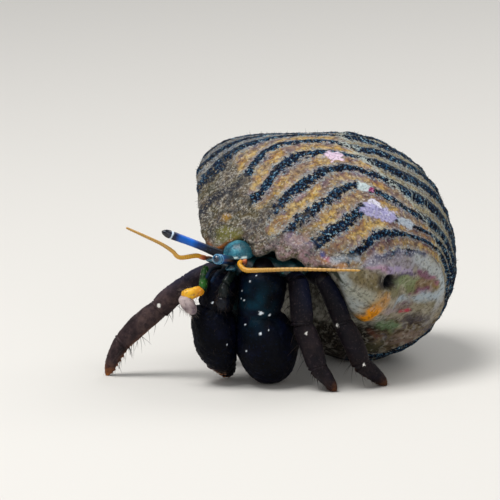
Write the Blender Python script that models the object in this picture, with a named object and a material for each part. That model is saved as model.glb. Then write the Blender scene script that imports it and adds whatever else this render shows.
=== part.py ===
"""Hermit crab in a turban shell: a still, life-size model of the whole animal.

Metres, +Z up.  The crab faces -Y, its left side is +X, and the floor is z = 0.
The origin is the small flat on which the shell rests.
"""
import math

import bmesh
import bpy
from mathutils import Matrix, Vector

MM = 0.001

# ---- driving dimensions (millimetres and degrees) -------------------------------------
shellOrigin = Vector((0.58, -2.02, 8.66))   # centre from which the whorls grow
shellAxisTurn = -28.4                       # compass turn of the umbilical axis from +X
shellAxisDip = -11.7                        # its slope, base end down
lipTurn = -31.5                             # turn of the mouth about that axis
whorlGrowth = 0.168                         # size gained per radian, as an exponent
sectionReach = 9.3                          # axis to the middle of the mouth
sectionLong = 14.5                          # half length of the mouth
sectionWide = 8.35                          # half width of the mouth
sectionLean = 15.1                          # lean of the mouth's long side from the axis
shellWall = 1.2
shellWhorl = 400                            # degrees of whorl that are modelled
cavityDepth = 30                            # degrees of the last whorl that are open
gap = 0.4                                   # clearance between neighbouring pieces
ringSides = 10

# joint points of the limbs, from the body to the foot
legPaths = {
    "front_leg_right": [(-5.4, -16.8, 11.9), (-8.8, -18.5, 10.0), (-11.3, -19.8, 7.4),
                        (-14.9, -21.7, 3.6), (-16.4, -22.4, -0.1)],
    "rear_leg_right": [(-4.9, -12.9, 10.6), (-8.3, -12.4, 8.5), (-10.0, -12.1, 5.2),
                       (-10.9, -11.6, 2.3), (-10.6, -10.9, -0.1)],
    "front_leg_left": [(0.5, -14.2, 11.9), (2.95, -15.0, 11.2), (3.9, -15.8, 8.0),
                       (5.6, -15.5, 3.0), (7.5, -14.6, -0.1)],
    "rear_leg_left": [(1.6, -12.4, 11.6), (5.1, -13.6, 11.4), (7.3, -13.4, 7.5),
                      (8.7, -12.1, 3.1), (10.3, -9.2, -0.1)],
}
# radii at those points; the front leg on the left side is the stoutest
legRadii = {leg: (1.0, 1.0, 0.98, 0.8, 0.3) for leg in legPaths}
legRadii["front_leg_left"] = (0.85, 0.92, 1.14, 1.0, 0.3)
legRadii["rear_leg_left"] = (0.8, 0.81, 0.97, 0.95, 0.3)
legColour = (0.035, 0.02, 0.025)
legNames = ("merus", "carpus", "propodus", "dactyl")

clawColour = (0.012, 0.014, 0.035)
shellColour = (0.45, 0.36, 0.24)
fleshColour = (0.02, 0.1, 0.11)
antennaColour = (0.8, 0.42, 0.04)
eyestalkColour = (0.02, 0.12, 0.5)

for old in list(bpy.data.objects):
    bpy.data.objects.remove(old, do_unlink=True)


# ---- small helpers --------------------------------------------------------------------
def makeMaterial(name, colour, roughness=0.45):
    material = bpy.data.materials.new(name)
    material.use_nodes = True
    shader = material.node_tree.nodes["Principled BSDF"]
    shader.inputs["Base Color"].default_value = (*colour, 1.0)
    shader.inputs["Roughness"].default_value = roughness
    shader.inputs["Metallic"].default_value = 0.0
    return material


def addObject(name, mesh, colour, roughness=0.45):
    mesh.shade_smooth()
    mesh.set_sharp_from_angle(angle=math.radians(40))
    mesh.materials.append(makeMaterial(name, colour, roughness))
    piece = bpy.data.objects.new(name, mesh)
    bpy.context.scene.collection.objects.link(piece)
    return piece


def meshFromBmesh(name, bm):
    bmesh.ops.recalc_face_normals(bm, faces=bm.faces)
    mesh = bpy.data.meshes.new(name)
    bm.to_mesh(mesh)
    bm.free()
    return mesh


def addLoft(bm, rings):
    """Joins rings of equal length into one closed body with flat ends."""
    verts = [[bm.verts.new(point * MM) for point in ring] for ring in rings]
    sides = len(rings[0])
    for lower, upper in zip(verts, verts[1:]):
        for i in range(sides):
            j = (i + 1) % sides
            bm.faces.new((lower[i], lower[j], upper[j], upper[i]))
    bm.faces.new(verts[0][::-1])
    bm.faces.new(verts[-1])


def tubeRings(path, radii, flatness=1.0, sides=ringSides):
    """Rings across a path.  Flatness narrows them across the path's vertical plane."""
    path = [Vector(point) for point in path]
    rings = []
    for i, centre in enumerate(path):
        along = (path[min(i + 1, len(path) - 1)] - path[max(i - 1, 0)]).normalized()
        reference = Vector((0, 0, 1)) if abs(along.z) < 0.9 else Vector((0, 1, 0))
        across = along.cross(reference).normalized()
        up = across.cross(along)
        ring = []
        for k in range(sides):
            angle = 2 * math.pi * k / sides
            offset = across * math.cos(angle) * flatness + up * math.sin(angle)
            point = centre + offset * radii[i]
            point.z = max(point.z, 0.0)
            ring.append(point)
        rings.append(ring)
    return rings


def roundedPath(start, end, startRadius, endRadius, belly=0.1, startGap=None, endGap=None):
    """Points and radii of one limb segment with rounded ends, clear of its joints."""
    start, end = Vector(start), Vector(end)
    along = (end - start).normalized()
    start = start + along * (gap / 2 if startGap is None else startGap)
    end = end - along * (gap / 2 if endGap is None else endGap)
    points, radii = [], []
    length = (end - start).length
    for share, fill in ((0.0, 0.62), (0.07, 0.88), (0.2, 1.0), (0.5, 1.0), (0.8, 1.0),
                        (0.93, 0.88), (1.0, 0.62)):
        points.append(start + along * length * share)
        swell = 1 + belly * math.sin(math.pi * share)
        radii.append((startRadius + (endRadius - startRadius) * share) * fill * swell)
    return points, radii


def addSegment(name, start, end, startRadius, endRadius, colour, flatness=1.0, belly=0.1,
               startGap=None, endGap=None):
    points, radii = roundedPath(start, end, startRadius, endRadius, belly, startGap, endGap)
    bm = bmesh.new()
    addLoft(bm, tubeRings(points, radii, flatness))
    return addObject(name, meshFromBmesh(name, bm), colour)


def addTube(name, path, radii, colour, flatness=1.0, sides=ringSides):
    bm = bmesh.new()
    addLoft(bm, tubeRings(path, radii, flatness, sides))
    return addObject(name, meshFromBmesh(name, bm), colour)


def ellipsoidMesh(bm, centre, axes, segments=16, rings=10):
    """An ellipsoid whose three half axes are the given vectors."""
    frame = Matrix((axes[0], axes[1], axes[2])).transposed().to_4x4()
    place = Matrix.Translation(Vector(centre) * MM) @ frame @ Matrix.Scale(MM, 4)
    bmesh.ops.create_uvsphere(bm, u_segments=segments, v_segments=rings, radius=1.0,
                              matrix=place)


# ---- the shell ------------------------------------------------------------------------
def shellFrame():
    turn, dip = math.radians(shellAxisTurn), math.radians(shellAxisDip)
    axis = Vector((math.cos(turn) * math.cos(dip), math.sin(turn) * math.cos(dip),
                   math.sin(dip)))
    level = axis.cross(Vector((0, 0, 1))).normalized()
    upright = axis.cross(level)
    angle = math.radians(lipTurn)
    return axis, level * math.cos(angle) + upright * math.sin(angle)


def hill(value, middle, width):
    """Bell curve, 1 at the middle."""
    return math.exp(-((value - middle) / width) ** 2)


def rise(value, low, high):
    """Smooth rise from 0 at low to 1 at high."""
    share = min(max((value - low) / (high - low), 0.0), 1.0)
    return share * share * (3 - 2 * share)


def lipShift(angle):
    """How far (radians of growth) the mouth's edge runs ahead at a place round it."""
    forward = 12.5 * hill(angle, 82, 26) - 3.3 * hill(angle, 56, 22)
    headNotch = 6 * hill(angle, 96, 6)
    shoulder = 9.5 * hill(angle, 20, 18)
    retreat = 12.5 * rise(angle, 108, 156) * (1 - rise(angle, 170, 230))
    return math.radians(forward - headNotch - shoulder - retreat)


def swell(growth, angle):
    """The wall is a little fuller or flatter in three places than the law alone makes it."""
    degrees = math.degrees(growth)
    return (1 + 0.024 * hill(degrees, -18, 10) * hill(angle, 20, 25)
            - 0.045 * hill(degrees, -50, 18) * hill(angle, 34, 30)
            + 0.03 * hill(degrees, -97, 22) * hill(angle, 75, 35))


def shoulderBulge(growth, angle):
    """The last part of the whorl is fuller on the side of the spire."""
    nearMouth = hill(growth, 0, math.radians(30))
    return 1 + 0.1 * nearMouth * max(math.cos(math.radians(angle)), 0.0)


def whorlPoint(growth, angle, inset=0.0):
    """A point on the whorl: growth in radians (0 at the mouth), angle in degrees."""
    axis, radial = shellFrame()
    lean = math.radians(sectionLean)
    longSide = radial * math.sin(lean) - axis * math.cos(lean)
    wideSide = radial * math.cos(lean) + axis * math.sin(lean)
    angleRad = math.radians(angle)
    across = (radial * sectionReach
              + longSide * (sectionLong * shoulderBulge(growth, angle) - inset)
              * math.cos(angleRad)
              + wideSide * (sectionWide - inset) * math.sin(angleRad))
    growth = growth + lipShift(angle)
    turned = Matrix.Rotation(growth, 3, axis) @ across
    return shellOrigin + turned * math.exp(whorlGrowth * growth) * swell(growth, angle)


def buildShell():
    bm = bmesh.new()
    angles = [360 * k / 36 for k in range(36)]
    outer = [[whorlPoint(math.radians(turn), a) for a in angles]
             for turn in range(-shellWhorl, 1, 10)]
    rim = [[whorlPoint(0.03, a, shellWall / 2) for a in angles]]
    inner = [[whorlPoint(math.radians(turn), a, shellWall) for a in angles]
             for turn in range(0, -cavityDepth - 1, -10)]
    addLoft(bm, outer + rim + inner)
    axis, radial = shellFrame()
    # the low spire on the hidden side
    side = axis.cross(radial)
    ellipsoidMesh(bm, shellOrigin - axis * 7.5, (radial * 9.0, side * 9.0, axis * 5.2))
    # the flat callus over the umbilicus
    facing = Vector((0.752, -0.338, -0.566))
    lengthwise = Vector((0.095, -0.794, 0.6))
    crosswise = facing.cross(lengthwise)
    middle = Vector((8.9, -5.6, 7.5)) - facing * 2.6
    ellipsoidMesh(bm, middle, (lengthwise * 10.4, crosswise * 6.2, facing * 3.0), 24, 12)
    # the thick inner lip, between the callus and the mouth, and what joins the two
    ellipsoidMesh(bm, (8.9, -10.3, 9.3), (lengthwise * 4.2, crosswise * 2.7, facing * 1.7))
    ellipsoidMesh(bm, (8.3, -12.2, 10.6), (lengthwise * 4.0, crosswise * 1.3, facing * 1.4))
    shell = addObject("shell", meshFromBmesh("shell", bm), shellColour, 0.6)
    remesh = shell.modifiers.new("one body", "REMESH")
    remesh.mode = "VOXEL"
    remesh.voxel_size = 0.36 * MM
    smooth = shell.modifiers.new("soften", "SMOOTH")
    smooth.iterations = 2
    fewer = shell.modifiers.new("fewer faces", "DECIMATE")
    fewer.ratio = 0.062
    floor = bmesh.new()
    bmesh.ops.create_cube(floor, size=0.06, matrix=Matrix.Translation((0, 0, -0.03)))
    cutter = addObject("floor_cutter", meshFromBmesh("floor_cutter", floor), shellColour)
    cutter.hide_render = True
    cutter.display_type = "WIRE"
    flat = shell.modifiers.new("flat underside", "BOOLEAN")
    flat.operation = "DIFFERENCE"
    flat.solver = "EXACT"
    flat.object = cutter


# ---- body and head --------------------------------------------------------------------
def buildBody():
    addTube("thorax", [(-3.5, -17.6, 12.4), (-3.4, -17.0, 12.4), (-3.2, -15.6, 12.5),
                       (-3.1, -13.4, 13.3), (-3.5, -11.4, 14.3), (-3.9, -9.8, 15.3),
                       (-4.0, -8.6, 16.2)],
            [0.8, 1.2, 1.4, 2.0, 3.5, 3.5, 2.1], fleshColour, 1.65, 16)
    addTube("carapace_shield", [(-2.6, -19.1, 14.35), (-2.55, -18.8, 14.35),
                                (-2.5, -18.0, 14.2), (-2.5, -17.2, 13.9),
                                (-2.5, -16.6, 13.75)],
            [0.12, 0.4, 0.55, 0.45, 0.12], fleshColour, 2.9, 16)


def buildHead():
    eyes = {"right": ((-3.9, -18.9, 13.9), (-8.0, -24.0, 16.8)),
            "left": ((-2.6, -19.1, 13.5), (-0.9, -24.3, 14.8))}
    for side, (base, tip) in eyes.items():
        base, tip = Vector(base), Vector(tip)
        neck = tip + (base - tip) * 0.16
        addSegment(f"eyestalk_{side}", base, neck, 0.42, 0.4, eyestalkColour, belly=-0.08,
                   startGap=0.0, endGap=0.05)
        addSegment(f"eye_{side}", neck, tip, 0.45, 0.42, (0.01, 0.015, 0.05),
                   startGap=0.1, endGap=-0.1)
    scales = {"right": ((-3.9, -18.75, 13.2), (-4.9, -20.5, 13.5)),
              "left": ((-2.3, -19.0, 12.75), (-2.0, -20.9, 12.95))}
    for side, (base, tip) in scales.items():
        addSegment(f"acicle_{side}", base, tip, 0.38, 0.27, fleshColour, startGap=0.0)
    antennules = {"right": [(-3.6, -19.5, 12.8), (-3.9, -20.9, 12.7), (-3.9, -21.9, 11.9)],
                  "left": [(-3.0, -19.6, 12.6), (-3.1, -21.0, 12.4), (-3.2, -22.0, 11.6)]}
    for side, path in antennules.items():
        addTube(f"antennule_{side}", path, [0.3, 0.28, 0.25], fleshColour, sides=8)
    bases = {"right": ((-5.3, -18.5, 13.2), (-5.7, -20.5, 13.9)),
             "left": ((-1.6, -18.2, 12.9), (-1.1, -19.05, 13.8))}
    for side, (base, tip) in bases.items():
        addSegment(f"antenna_base_{side}", base, tip, 0.45, 0.35, antennaColour,
                   startGap=0.0, endGap=0.15)
    feelers = {"right": [(-5.85, -20.8, 13.95), (-6.6, -22.8, 14.0), (-7.2, -23.3, 14.7),
                         (-8.2, -24.0, 15.5), (-9.7, -25.1, 16.4), (-11.1, -26.1, 17.2)],
               "left": [(-1.25, -19.3, 13.55), (-0.7, -19.7, 12.95), (2.2, -19.0, 13.1),
                        (5.2, -18.2, 13.4), (8.5, -17.4, 13.6), (11.9, -16.6, 13.8)]}
    for side, path in feelers.items():
        addTube(f"antenna_{side}", path, [0.32, 0.31, 0.3, 0.28, 0.26, 0.25],
                antennaColour, sides=8)
    mouthparts = {"right": [(-5.2, -20.1, 12.7), (-4.7, -21.3, 10.5), (-6.3, -22.7, 9.9),
                            (-5.2, -22.1, 8.2)],
                  "left": [(-2.6, -18.8, 12.2), (-2.6, -20.2, 11.2), (-2.6, -20.6, 9.9),
                           (-2.7, -20.4, 8.7)]}
    for side, path in mouthparts.items():
        addSegment(f"maxilliped_{side}", path[0], path[1], 0.45, 0.5, (0.05, 0.12, 0.05))
        addSegment(f"maxilliped_palp_{side}", path[1], path[2], 0.55, 0.45, antennaColour)
        addSegment(f"maxilliped_tip_{side}", path[2], path[3], 0.45, 0.32,
                   (0.3, 0.24, 0.26), startGap=0.6)


# ---- limbs ----------------------------------------------------------------------------
def buildLegs():
    for leg, path in legPaths.items():
        for i, part in enumerate(legNames):
            last = part == "dactyl"
            near, far = legRadii[leg][i:i + 2]
            addSegment(f"{leg}_{part}", path[i], path[i + 1], near, far, legColour, 0.8, 0.12,
                       endGap=0.0 if last else None)


def buildClaws():
    arms = {"right": [(-4.9, -15.6, 9.8), (-4.3, -18.0, 10.9), (-5.0, -19.0, 7.7)],
            "left": [(-2.6, -13.2, 9.2), (-0.9, -16.3, 11.2), (-0.9, -16.8, 7.0)]}
    armGaps = {"right": 1.8, "left": 3.0}     # the wrists are wider than the arms
    armRadii = {"right": (1.5, 1.9), "left": (2.1, 2.0)}
    hands = {"right": [(-4.9, -19.0, 7.4), (-4.9, -19.1, 7.1), (-4.7, -19.2, 5.3),
                       (-4.75, -18.5, 3.3), (-4.9, -17.2, 1.6), (-5.1, -16.3, 0.5),
                       (-5.1, -16.0, 0.05)],
             "left": [(-0.1, -16.3, 6.8), (0.0, -16.2, 6.4), (0.2, -16.0, 4.8),
                      (0.1, -15.3, 3.1), (-0.2, -14.4, 1.6), (-0.4, -13.9, 0.6),
                      (-0.4, -13.7, 0.05)]}
    handRadii = {"right": [1.3, 1.9, 2.3, 2.1, 1.4, 0.9, 0.5],
                 "left": [1.7, 2.6, 3.1, 3.1, 2.5, 1.8, 1.0]}
    for side, path in arms.items():
        near, far = armRadii[side]
        addSegment(f"claw_{side}_merus", path[0], path[1], near * 0.7, near * 0.7,
                   clawColour, endGap=armGaps[side])
        addSegment(f"claw_{side}_carpus", path[1], path[2], near, far, clawColour,
                   startGap=0.45, endGap=0.5)
        addTube(f"claw_{side}_palm", hands[side], handRadii[side], clawColour, 0.95, 16)


buildShell()
buildBody()
buildHead()
buildLegs()
buildClaws()
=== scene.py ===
# Hermit crab in a turban shell: the looks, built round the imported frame.
# Dictionaries give millimetres and degrees; meshes are written in metres.
import math

import bpy
import numpy as np
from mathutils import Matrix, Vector


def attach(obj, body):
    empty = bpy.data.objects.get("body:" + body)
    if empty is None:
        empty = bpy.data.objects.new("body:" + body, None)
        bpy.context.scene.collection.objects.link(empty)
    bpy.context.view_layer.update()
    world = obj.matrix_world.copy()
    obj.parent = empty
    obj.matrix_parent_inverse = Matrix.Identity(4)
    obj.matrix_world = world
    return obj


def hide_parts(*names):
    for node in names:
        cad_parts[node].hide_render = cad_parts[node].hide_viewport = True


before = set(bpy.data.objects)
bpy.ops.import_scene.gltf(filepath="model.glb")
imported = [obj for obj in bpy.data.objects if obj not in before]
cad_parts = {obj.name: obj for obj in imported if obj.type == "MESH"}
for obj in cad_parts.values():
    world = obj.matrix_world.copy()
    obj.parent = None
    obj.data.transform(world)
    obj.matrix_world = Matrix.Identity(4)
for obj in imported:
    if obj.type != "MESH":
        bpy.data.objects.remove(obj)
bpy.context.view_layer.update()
mm = 0.001
dice = np.random.default_rng(7)


# small sums used by every piece
def unit(vectors):
    vectors = np.asarray(vectors, float)
    return vectors / np.maximum(np.linalg.norm(vectors, axis=-1, keepdims=True), 1e-12)


def ease(value, low, high):
    # smooth rise from 0 at low to 1 at high
    part = np.clip((value - low) / (high - low), 0, 1)
    return part * part * (3 - 2 * part)


def hill(value, middle, width):
    # bell curve, 1 at the middle
    return np.exp(-((value - middle) / width) ** 2)


def gapTo(points, place):
    return np.linalg.norm(points - np.array(place), axis=-1)


def latticeValue(x, y, z, seed):
    # a repeatable number from 0 to 1: the fraction left by a large multiple of a sine
    value = np.sin(x * 127.1 + y * 311.7 + z * 74.7 + seed * 53.3) * 43758.5453
    return value - np.floor(value)


def cloud(points, size, seed):
    # lattice values blended by the eased distance to each of the eight corners, -1 to 1
    cell = points / size
    low = np.floor(cell)
    part = cell - low
    part = part * part * (3 - 2 * part)
    total = 0
    for corner in np.ndindex(2, 2, 2):
        weight = np.prod(np.where(corner, part, 1 - part), axis=-1)
        total = total + weight * latticeValue(*np.moveaxis(low + corner, -1, 0), seed)
    return total * 2 - 1


def roughness(points, size, seed, layers=3):
    # clouds added up, each half as large and half as strong as the last
    return sum(cloud(points, size / 2 ** k, seed + k) / 2 ** k for k in range(layers)) / 1.75


def pebbles(points, size, seed):
    # distance to the nearest of the scattered stones, one in each lattice cell, in cells
    cell = points / size
    low = np.floor(cell)
    nearest = np.full(cell.shape[:-1], 9.0)
    for step in np.ndindex(3, 3, 3):
        home = low + np.array(step) - 1
        x, y, z = np.moveaxis(home, -1, 0)
        stone = home + np.stack([latticeValue(x, y, z, seed + k) for k in range(3)], axis=-1)
        nearest = np.minimum(nearest, np.linalg.norm(cell - stone, axis=-1))
    return nearest


# meshes from arrays
def ringFaces(rows, sides):
    # rings joined by four-sided faces, and fans to the two end points that follow the rings
    index = np.arange(rows * sides).reshape(rows, sides)
    after = np.roll(index, -1, axis=1)
    quads = np.stack([index[:-1], after[:-1], after[1:], index[1:]], axis=-1).reshape(-1, 4)
    start = np.stack([after[0], index[0], np.full(sides, rows * sides)], axis=-1)
    end = np.stack([index[-1], after[-1], np.full(sides, rows * sides + 1)], axis=-1)
    return quads, np.concatenate([start, end])


def closedTube(points, traits=None):
    # rings of points closed by a middle point at each end; a trait may have one value for a
    # ring, for a side or for all
    rows, sides = points.shape[:2]
    quads, fans = ringFaces(rows, sides)
    everything = np.concatenate([points.reshape(-1, 3), points[0].mean(axis=0)[None],
                                 points[-1].mean(axis=0)[None]])
    part = {"points": everything, "quads": quads, "fans": fans, "traits": {}}
    for name, value in (traits or {}).items():
        value = np.broadcast_to(value, (rows, sides))
        ends = [value[0].mean(), value[-1].mean()]
        part["traits"][name] = np.concatenate([value.reshape(-1), ends])
    return facingOut(part)


def facingOut(part):
    # the faces are turned round where the sum of a dot (b cross c) over the triangles, which
    # is six volumes, comes out below zero
    quads = part["quads"]
    triangles = np.concatenate([quads[:, [0, 1, 2]], quads[:, [0, 2, 3]], part["fans"]])
    a, b, c = (part["points"][triangles[:, k]] for k in range(3))
    if np.einsum("ij,ij->i", a, np.cross(b, c)).sum() < 0:
        part["quads"] = part["quads"][:, ::-1]
        part["fans"] = part["fans"][:, ::-1]
    return part


def joined(parts):
    total = {"points": [], "quads": [], "fans": [], "traits": {}}
    start = 0
    for part in parts:
        total["points"].append(part["points"])
        total["quads"].append(part["quads"] + start)
        total["fans"].append(part["fans"] + start)
        start += len(part["points"])
    names = {name for part in parts for name in part["traits"]}
    for name in sorted(names):
        total["traits"][name] = np.concatenate(
            [part["traits"].get(name, np.zeros(len(part["points"]))) for part in parts])
    if "unwrap" in parts[0]:
        total["unwrap"] = np.concatenate([part["unwrap"] for part in parts])
    for key in ("points", "quads", "fans"):
        total[key] = np.concatenate(total[key])
    return total


def writeMesh(name, part):
    mesh = bpy.data.meshes.new(name)
    faces = part["quads"].tolist() + part["fans"].tolist()
    mesh.from_pydata((part["points"] * mm).tolist(), [], faces)
    for key, value in part["traits"].items():
        if np.ndim(value) == 1:
            layer = mesh.attributes.new(key, "FLOAT", "POINT")
            layer.data.foreach_set("value", value.astype(np.float32))
        else:
            layer = mesh.attributes.new(key, "FLOAT_COLOR", "POINT")
            layer.data.foreach_set("color", value.astype(np.float32).reshape(-1))
    if "unwrap" in part:
        # one place on the map for each corner of a face
        layer = mesh.uv_layers.new(name="OFBake")
        corners = np.concatenate([part["quads"].reshape(-1), part["fans"].reshape(-1)])
        layer.data.foreach_set("uv", part["unwrap"][corners].astype(np.float32).reshape(-1))
    mesh.update()
    mesh.shade_smooth()
    return mesh


def addPiece(name, part, material, nodes=()):
    piece = bpy.data.objects.new(name, writeMesh(name, part))
    piece.data.materials.append(material)
    bpy.context.scene.collection.objects.link(piece)
    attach(piece, "root")
    if nodes:
        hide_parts(*nodes)


def addLimb(name, form, traits, material, node):
    addPiece(name, closedTube(form["points"], traits), material, [node])


# node graphs
def tint(code):
    # a colour written in hexadecimal, as linear light
    parts = [int(code[k:k + 2], 16) / 255 for k in (0, 2, 4)]
    return (*[p / 12.92 if p < 0.04045 else ((p + 0.055) / 1.055) ** 2.4 for p in parts], 1.0)


def add(tree, kind, inputs=None, **settings):
    made = tree.nodes.new("ShaderNode" + kind)
    for key, value in settings.items():
        setattr(made, key, value)
    for key, value in (inputs or {}).items():
        if isinstance(value, bpy.types.NodeSocket):
            tree.links.new(value, made.inputs[key])
        else:
            made.inputs[key].default_value = value
    return made


def trait(tree, name):
    return add(tree, "Attribute", attribute_name=name).outputs["Fac"]


def sums(tree, operation, a, b=0.0, c=0.0):
    return add(tree, "Math", {0: a, 1: b, 2: c}, operation=operation).outputs[0]


def times(tree, a, b):
    return sums(tree, "MULTIPLY", a, b)


def plus(tree, a, b):
    return sums(tree, "ADD", a, b)


def scaled(tree, value, factor, offset):
    return sums(tree, "MULTIPLY_ADD", value, factor, offset)


def rise(tree, value, low, high):
    # smooth step from 0 at low to 1 at high
    made = add(tree, "MapRange", {"Value": value, "From Min": low, "From Max": high},
               interpolation_type="SMOOTHSTEP")
    return made.outputs["Result"]


def over(tree, amount, under, top):
    return add(tree, "Mix", {0: amount, 6: under, 7: top}, data_type="RGBA").outputs[2]


def laid(tree, base, code, amount, strength=None):
    # a plain colour laid on, by an amount and perhaps a strength that scales it
    if strength is not None:
        amount = times(tree, amount, strength)
    return over(tree, amount, base, tint(code))


def flecked(tree, base, code, strength, value, low, high):
    # a colour laid on where a value rises from low to high
    return laid(tree, base, code, rise(tree, value, low, high), strength)


def grain(tree, size, detail, seed=0.0, warp=0.0):
    # noise whose lumps are about the given size in millimetres
    where = add(tree, "TexCoord").outputs["Object"]
    moved = add(tree, "Mapping", {"Vector": where, "Location": (seed, seed / 2, -seed)}).outputs[0]
    return add(tree, "TexNoise", {"Vector": moved, "Scale": 0.5 / (size * mm), "Detail": detail,
                                  "Distortion": warp}).outputs["Fac"]


def stones(tree, size, seed, output="Distance"):
    where = add(tree, "TexCoord").outputs["Object"]
    moved = add(tree, "Mapping", {"Vector": where, "Location": (seed, -seed, seed)}).outputs[0]
    return add(tree, "TexVoronoi", {"Vector": moved, "Scale": 1 / (size * mm)}).outputs[output]


def wavering(tree, name, size, amount):
    # a trait made uneven by noise of the given size
    return plus(tree, trait(tree, name), scaled(tree, grain(tree, size, 3), amount, -amount / 2))


def colours(tree, value, stops):
    made = add(tree, "ValToRGB", {"Fac": value})
    ramp = made.color_ramp
    while len(ramp.elements) < len(stops):
        ramp.elements.new(0.5)
    for element, (place, code) in zip(ramp.elements, stops):
        element.position = place
        element.color = tint(code)
    return made.outputs["Color"]


def startMaterial(name, dull, coat=0.0, specular=0.5):
    material = bpy.data.materials.new(name)
    material.use_nodes = True
    tree = material.node_tree
    shader = tree.nodes["Principled BSDF"]
    shader.inputs["Roughness"].default_value = dull
    shader.inputs["Specular IOR Level"].default_value = specular
    shader.inputs["Coat Weight"].default_value = coat
    shader.inputs["Coat Roughness"].default_value = 0.2
    return material, tree, shader


def finish(tree, shader, base, height, strength, depth):
    # the colour, and a bump of the given depth in millimetres
    made = add(tree, "Bump", {"Height": height, "Strength": strength, "Distance": depth * mm})
    tree.links.new(base, shader.inputs["Base Color"])
    tree.links.new(made.outputs["Normal"], shader.inputs["Normal"])


# the turban shell
shell = {
    "origin": (0.58, -2.02, 8.66),     # centre from which the whorls grow
    "axisTurn": -28.4,
    "axisDip": -11.7,
    "lipTurn": -31.5,
    "growth": 0.168,                   # size gained per radian, as an exponent
    "reach": 9.3,
    "long": 14.5,
    "wide": 8.35,
    "lean": 15.1,
    "wall": 1.1,
    "whorl": 400,                      # degrees of whorl outside
    "cavity": 45,                      # degrees open inside the mouth
    "ribStart": 81.3,                  # section angle of one rib
    "ribStep": 14.34,
    "ribHeight": 0.3,
    "voxel": 0.21,
    "spireDeep": 7.5,                  # how far down the axis the low spire's middle lies
    "spireHalves": (5.2, 9.0, 9.0),
}


def shellDirections():
    turn, dip = math.radians(shell["axisTurn"]), math.radians(shell["axisDip"])
    axis = np.array([math.cos(turn) * math.cos(dip), math.sin(turn) * math.cos(dip),
                     math.sin(dip)])
    level = unit(np.cross(axis, (0, 0, 1)))
    upright = np.cross(axis, level)
    angle = math.radians(shell["lipTurn"])
    radial = level * math.cos(angle) + upright * math.sin(angle)
    return axis, radial, np.cross(axis, radial)


shellAxis, shellRadial, shellSide = shellDirections()
shellOrigin = np.array(shell["origin"])


# small scallops in the mouth's edge: degrees forward, section angle, width
lipChips = [(1.5, 86, 3), (-1.4, 92, 4), (0.5, 104, 3), (-4.5, 110.8, 2.2), (1.2, 117, 2.2),
            (-1.6, 121, 2.5), (3.3, 130.5, 3.5)]


def ribPhase(angle):
    # whole numbers on the ribs
    return (angle - shell["ribStart"]) / shell["ribStep"]


def ribBend(degrees, angle):
    # how far the ribs stray from plain spirals: they arch over the mouth's side of the whorl
    # and sink by a whole rib where growth once stopped
    return (0.35 * hill(angle, 74, 24) * hill(degrees, -11, 7)
            - 0.44 * hill(angle, 64, 22) * hill(degrees, -31, 9)
            - 0.26 * hill(angle, 108, 28) * hill(degrees, -42, 9)
            + 0.23 * hill(angle, 140, 12) * hill(degrees, -28, 12)
            - 0.5 * hill(angle, 47, 9) * hill(degrees, -16, 12)
            + 0.35 * hill(angle, 76, 12) * hill(degrees, -57, 7)
            + 1.17 * ease(-degrees, 42, 78) * (1 - ease(angle, 126, 148)))


def lipLead(angle):
    # radians by which the mouth's edge runs ahead at a section angle: a long forward lobe,
    # a notch over the head, a retreat at both ends, and scallops
    lead = (12.5 * hill(angle, 82, 26) - 3.3 * hill(angle, 56, 22) - 6 * hill(angle, 96, 6)
            - 9.5 * hill(angle, 20, 18)
            - 12.5 * ease(angle, 108, 156) * (1 - ease(angle, 170, 230)))
    scallops = sum(amount * hill(angle, middle, width) for amount, middle, width in lipChips)
    return np.radians(lead + scallops)


def shoulder(growth, angle):
    return 1 + 0.1 * hill(growth, 0, math.radians(30)) * np.maximum(np.cos(np.radians(angle)), 0)


def swell(growth, angle):
    # the wall is a little fuller or flatter in three places than the law alone would make it
    degrees = np.degrees(growth)
    return (1 + 0.024 * hill(degrees, -18, 10) * hill(angle, 20, 25)
            - 0.045 * hill(degrees, -50, 18) * hill(angle, 34, 30)
            + 0.03 * hill(degrees, -97, 22) * hill(angle, 75, 35))


def whorlPoints(growth, angle, inset):
    # the section ellipse, turned about the axis by the growth and scaled by its exponential
    lean = math.radians(shell["lean"])
    longHalf = (shell["long"] * shoulder(growth, angle) - inset) * np.cos(np.radians(angle))
    wideHalf = (shell["wide"] - inset) * np.sin(np.radians(angle))
    out = shell["reach"] + longHalf * math.sin(lean) + wideHalf * math.cos(lean)
    axial = -longHalf * math.cos(lean) + wideHalf * math.sin(lean)
    turn = growth + lipLead(angle)
    size = (np.exp(shell["growth"] * turn) * swell(turn, angle))[..., None]
    across = (shellRadial * (out * np.cos(turn))[..., None]
              + shellSide * (out * np.sin(turn))[..., None] + shellAxis * axial[..., None])
    return shellOrigin + across * size


def egg(centre, axes, rows=40, sides=60):
    # an ellipsoid on a grid of latitude and longitude, from three half axes
    north = np.linspace(0.02, np.pi - 0.02, rows)[:, None, None]
    east = np.linspace(0, 2 * np.pi, sides, endpoint=False)[None, :, None]
    a, b, c = (np.array(axis) for axis in axes)
    points = (np.array(centre) + a * np.cos(north) + b * np.sin(north) * np.cos(east)
              + c * np.sin(north) * np.sin(east))
    return closedTube(points)


def whorlTube():
    angle = np.arange(0, 360, 2.0)[None, :]
    degrees = [np.arange(-shell["whorl"], 0.1, 2.5), np.array([1.2, 1.9, 1.2]),
               np.arange(0, -shell["cavity"] - 0.1, -2.5)]
    insets = [0 * degrees[0], shell["wall"] * np.array([0.2, 0.5, 0.8]),
              0 * degrees[2] + shell["wall"]]
    growth = np.radians(np.concatenate(degrees))[:, None]
    inset = np.concatenate(insets)[:, None]
    return closedTube(whorlPoints(growth + 0 * angle, angle + 0 * growth, inset))


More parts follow.
